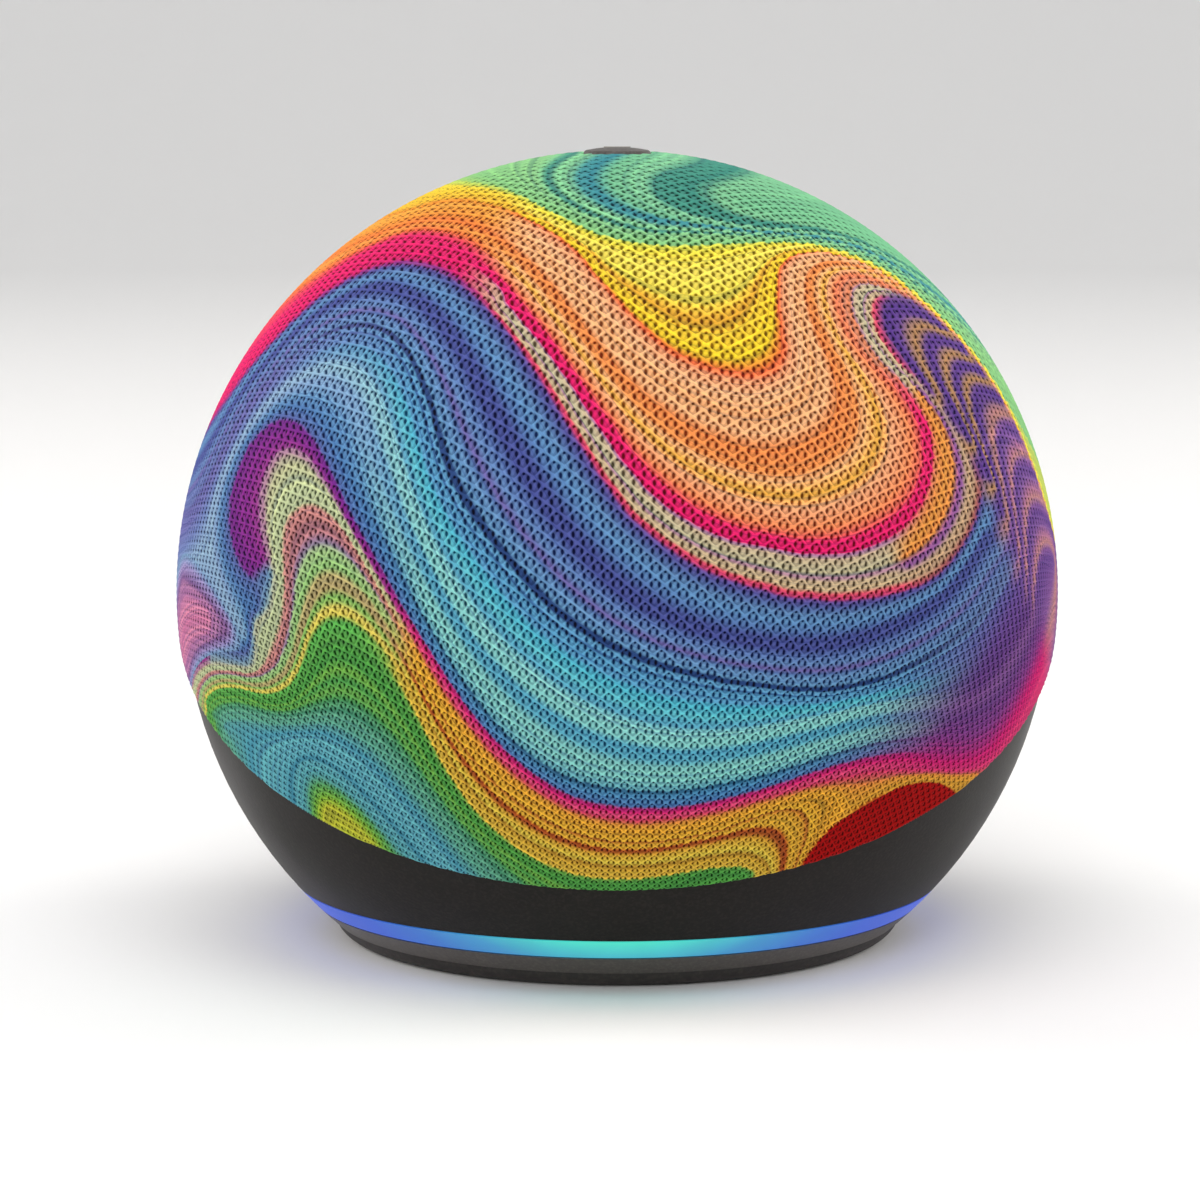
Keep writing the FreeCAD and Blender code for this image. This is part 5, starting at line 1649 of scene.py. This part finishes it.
@dataclass
class Buttons(SubAssembly):
    """The four buttons on the crown: their caps, the marks on them and what is under them."""

    ball: Ball = field(default_factory=Ball)
    cap_radius: float = 0.0038
    cap_proud: float = 0.00035
    cap_deep: float = 0.0028
    dome: float = 0.00042
    face_share: float = 0.88
    face_steps: int = 8
    lip_steps: int = 6
    spokes: int = 64
    reach: float = 0.0013
    line: float = 0.00042
    thin: float = 0.6
    dot: float = 0.00062
    microphone: Place = (1.9, 0.62)
    stand: Place = (0.80, 0.96)
    slash: float = 0.9
    proud: float = 0.00005
    sunk: float = 0.00003
    corners: int = 24
    worn: Moulded = Moulded("button_plastic", "4a4542", "5e5955", 0.42, gloss=0.3)
    ink: Moulded = Moulded("mark_ink", "a39e98", "b4afa9", 0.5, gloss=0.3)

    def finishes(self) -> dict[str, Finish]:
        """Choose the finishes.

        Returns:
            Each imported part's finish, by the part's name.
        """
        made: dict[str, Finish] = {mark.value[1]: self.worn for mark in Mark}
        made["key_mat"] = Moulded("silicone_grey", "8d9092", "a4a7a9", 0.6)
        made["button_frame"] = Moulded("frame_plastic", "1d1c1c", "2b2a2a", 0.5)
        made["frame_screws"] = SCREW_STEEL
        return made

    def arc(self, centre: Place, radius: float, start: float, stop: float,
            steps: int) -> list[Place]:
        """Points round a centre.

        Args:
            centre: What they go round.
            radius: How far from it they lie.
            start: The first one's direction.
            stop: The last one's direction.
            steps: How many steps there are between them.

        Returns:
            The points, both ends included.
        """
        turns = [start + (stop - start) * step / steps for step in range(steps + 1)]
        return [(centre[0] + radius * math.cos(turn), centre[1] + radius * math.sin(turn))
                for turn in turns]

    def bar(self, start: Place, stop: Place, width: float) -> list[Place]:
        """The outline of a straight bar with round ends.

        Args:
            start: The middle of its first end.
            stop: The middle of its other end.
            width: How wide it is.

        Returns:
            The outline, anticlockwise.
        """
        turn = math.atan2(stop[1] - start[1], stop[0] - start[0])
        return [place for centre, first in ((stop, turn - math.pi / 2), (start, turn + math.pi / 2))
                for place in self.arc(centre, width / 2, first, first + math.pi,
                                      self.corners // 2)]

    def bow(self, radius: float, width: float) -> list[Place]:
        """The outline of a half ring that hangs from the middle, anticlockwise."""
        return (self.arc((0, 0), radius + width / 2, math.pi, math.tau, self.corners)
                + self.arc((0, 0), radius - width / 2, math.tau, math.pi, self.corners))

    def outlines(self, mark: Mark) -> list[list[Place]]:
        """The outlines of a mark, on its cap's face, with the front at the bottom.

        Args:
            mark: Which of the marks.

        Returns:
            Closed outlines, anticlockwise.
        """
        half, reach = self.line / 2, self.reach
        if mark is Mark.MINUS:
            return [self.bar((-reach, 0), (reach, 0), self.line)]
        if mark is Mark.PLUS:
            arm = [(reach, -half), (reach, half), (half, half)]
            cross = []
            for cosine, sine in ((1, 0), (0, 1), (-1, 0), (0, -1)):
                cross += [(x * cosine - y * sine, x * sine + y * cosine) for x, y in arm]
            return [cross]
        if mark is Mark.DOT:
            return [self.bar((0, 0), (TINY, 0), self.dot * 2)]
        body, tall = self.line * self.microphone[0], reach * self.microphone[1]
        thin, slash = self.line * self.thin, reach * self.slash
        return [self.bar((0, 0), (0, tall), body), self.bow(tall, thin),
                self.bar((0, -reach * self.stand[0]), (0, -reach * self.stand[1]), thin),
                self.bar((-slash, slash), (slash, -slash), thin)]

    def frame(self, cap: str) -> tuple[Vector, Vector, Vector]:
        """A cap's own directions.

        Args:
            cap: The cap's part.

        Returns:
            The directions to the side, to the back and out of the ball.
        """
        axis = self.ball.cap_axis(cap)
        up = Vector((0, 1, 0))
        up = (up - axis * up.dot(axis)).normalized()
        return up.cross(axis), up, axis

    def height(self, reach: float) -> float:
        """How far from the ball's centre the domed face is, at a reach from its middle."""
        return self.ball.radius + self.cap_proud - self.dome * (reach / self.cap_radius) ** 2

    def finish_piece(self, work: bmesh.types.BMesh, name: str, body: str,
                     finish: Finish) -> bpy.types.Object:
        """Turn a finished mesh into a piece that rides with a button.

        Args:
            work: The mesh as it was made.
            name: What the piece is called.
            body: The button that it rides with.
            finish: What it is made of.

        Returns:
            The piece.
        """
        mesh = bpy.data.meshes.new(name)
        bmesh.ops.remove_doubles(work, verts=work.verts, dist=1e-8)
        work.to_mesh(mesh)
        work.free()
        mesh.materials.append(self.shelf.take(finish))
        piece = placed(name, mesh)
        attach(piece, body)
        LOG.info("%s: %d faces", name, len(mesh.polygons))
        return piece

    def crown(self, mark: Mark) -> bpy.types.Object:
        """The domed cap of one button, in place of its plain flat one.

        Args:
            mark: Which of the buttons.

        Returns:
            The finished cap.
        """
        _, cap, body = mark.value
        side, up, axis = self.frame(cap)
        face = self.cap_radius * self.face_share
        reaches = [face * step / self.face_steps for step in range(1, self.face_steps + 1)]
        profile = [(reach, self.height(reach)) for reach in reaches]
        lip, level = self.cap_radius - face, self.height(face)
        for step in range(1, self.lip_steps + 1):
            turn = math.pi / 2 * step / self.lip_steps
            profile.append((face + lip * math.sin(turn), level - lip * (1 - math.cos(turn))))
        profile.append((self.cap_radius, self.ball.radius - self.cap_deep))
        turns = [math.tau * spoke / self.spokes for spoke in range(self.spokes)]
        work = bmesh.new()
        rings = [[work.verts.new(self.ball.centre + axis * level
                                 + (side * math.cos(turn) + up * math.sin(turn)) * out)
                  for turn in turns] for out, level in profile]
        top = work.verts.new(self.ball.centre + axis * self.height(0.0))
        for spoke in range(self.spokes):
            work.faces.new((top, rings[0][spoke - 1], rings[0][spoke]))
        for inner, outer in zip(rings, rings[1:]):
            skirt(work, outer, inner)
        work.faces.new(rings[-1][::-1])
        for shape in work.faces:
            shape.smooth = len(shape.verts) < 5
        piece = self.finish_piece(work, mark.value[0].replace("mark", "cap"), body, self.worn)
        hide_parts(cap)
        return piece

    def stamp(self, mark: Mark) -> bpy.types.Object:
        """One raised mark on its cap, flat on top, with its foot let into the dome.

        Args:
            mark: Which of the marks.

        Returns:
            The finished mark.
        """
        name, cap, body = mark.value
        side, up, axis = self.frame(cap)
        work = bmesh.new()
        for level, outline in enumerate(self.outlines(mark)):
            flat = self.height(0.0) + self.proud + level * self.sunk / 3
            feet = [self.height(math.hypot(*place)) - self.sunk for place in outline]
            rings = [[work.verts.new(self.ball.centre + side * x + up * y + axis * rise)
                      for (x, y), rise in zip(outline, rises)]
                     for rises in (feet, [flat] * len(outline))]
            work.faces.new(rings[1])
            work.faces.new(rings[0][::-1])
            skirt(work, *rings)
        return self.finish_piece(work, name, body, self.ink)

    def build(self) -> list[bpy.types.Object]:
        """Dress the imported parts, then make each cap and the mark on it.

        Returns:
            The four caps and the four marks.
        """
        super().build()
        return [make(mark) for mark in Mark for make in (self.crown, self.stamp)]


# ---- main ------------------------------------------------------------------------------------


def main() -> None:
    """Build the studio, the dressed parts and the sleeve, in that order."""
    logging.basicConfig(level=logging.INFO, format="%(name)s: %(message)s")
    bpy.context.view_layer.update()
    ball = Ball()
    shelf = Shelf()
    Studio(target=ball.centre).build()
    for group in (Housing(shelf), Electronics(shelf), Loudspeaker(shelf), Buttons(shelf, ball)):
        made = group.build()
        LOG.info("%s: %d pieces made", type(group).__name__, len(made))
    KnitSleeve(ball).build()


if __name__ == "__main__":
    main()
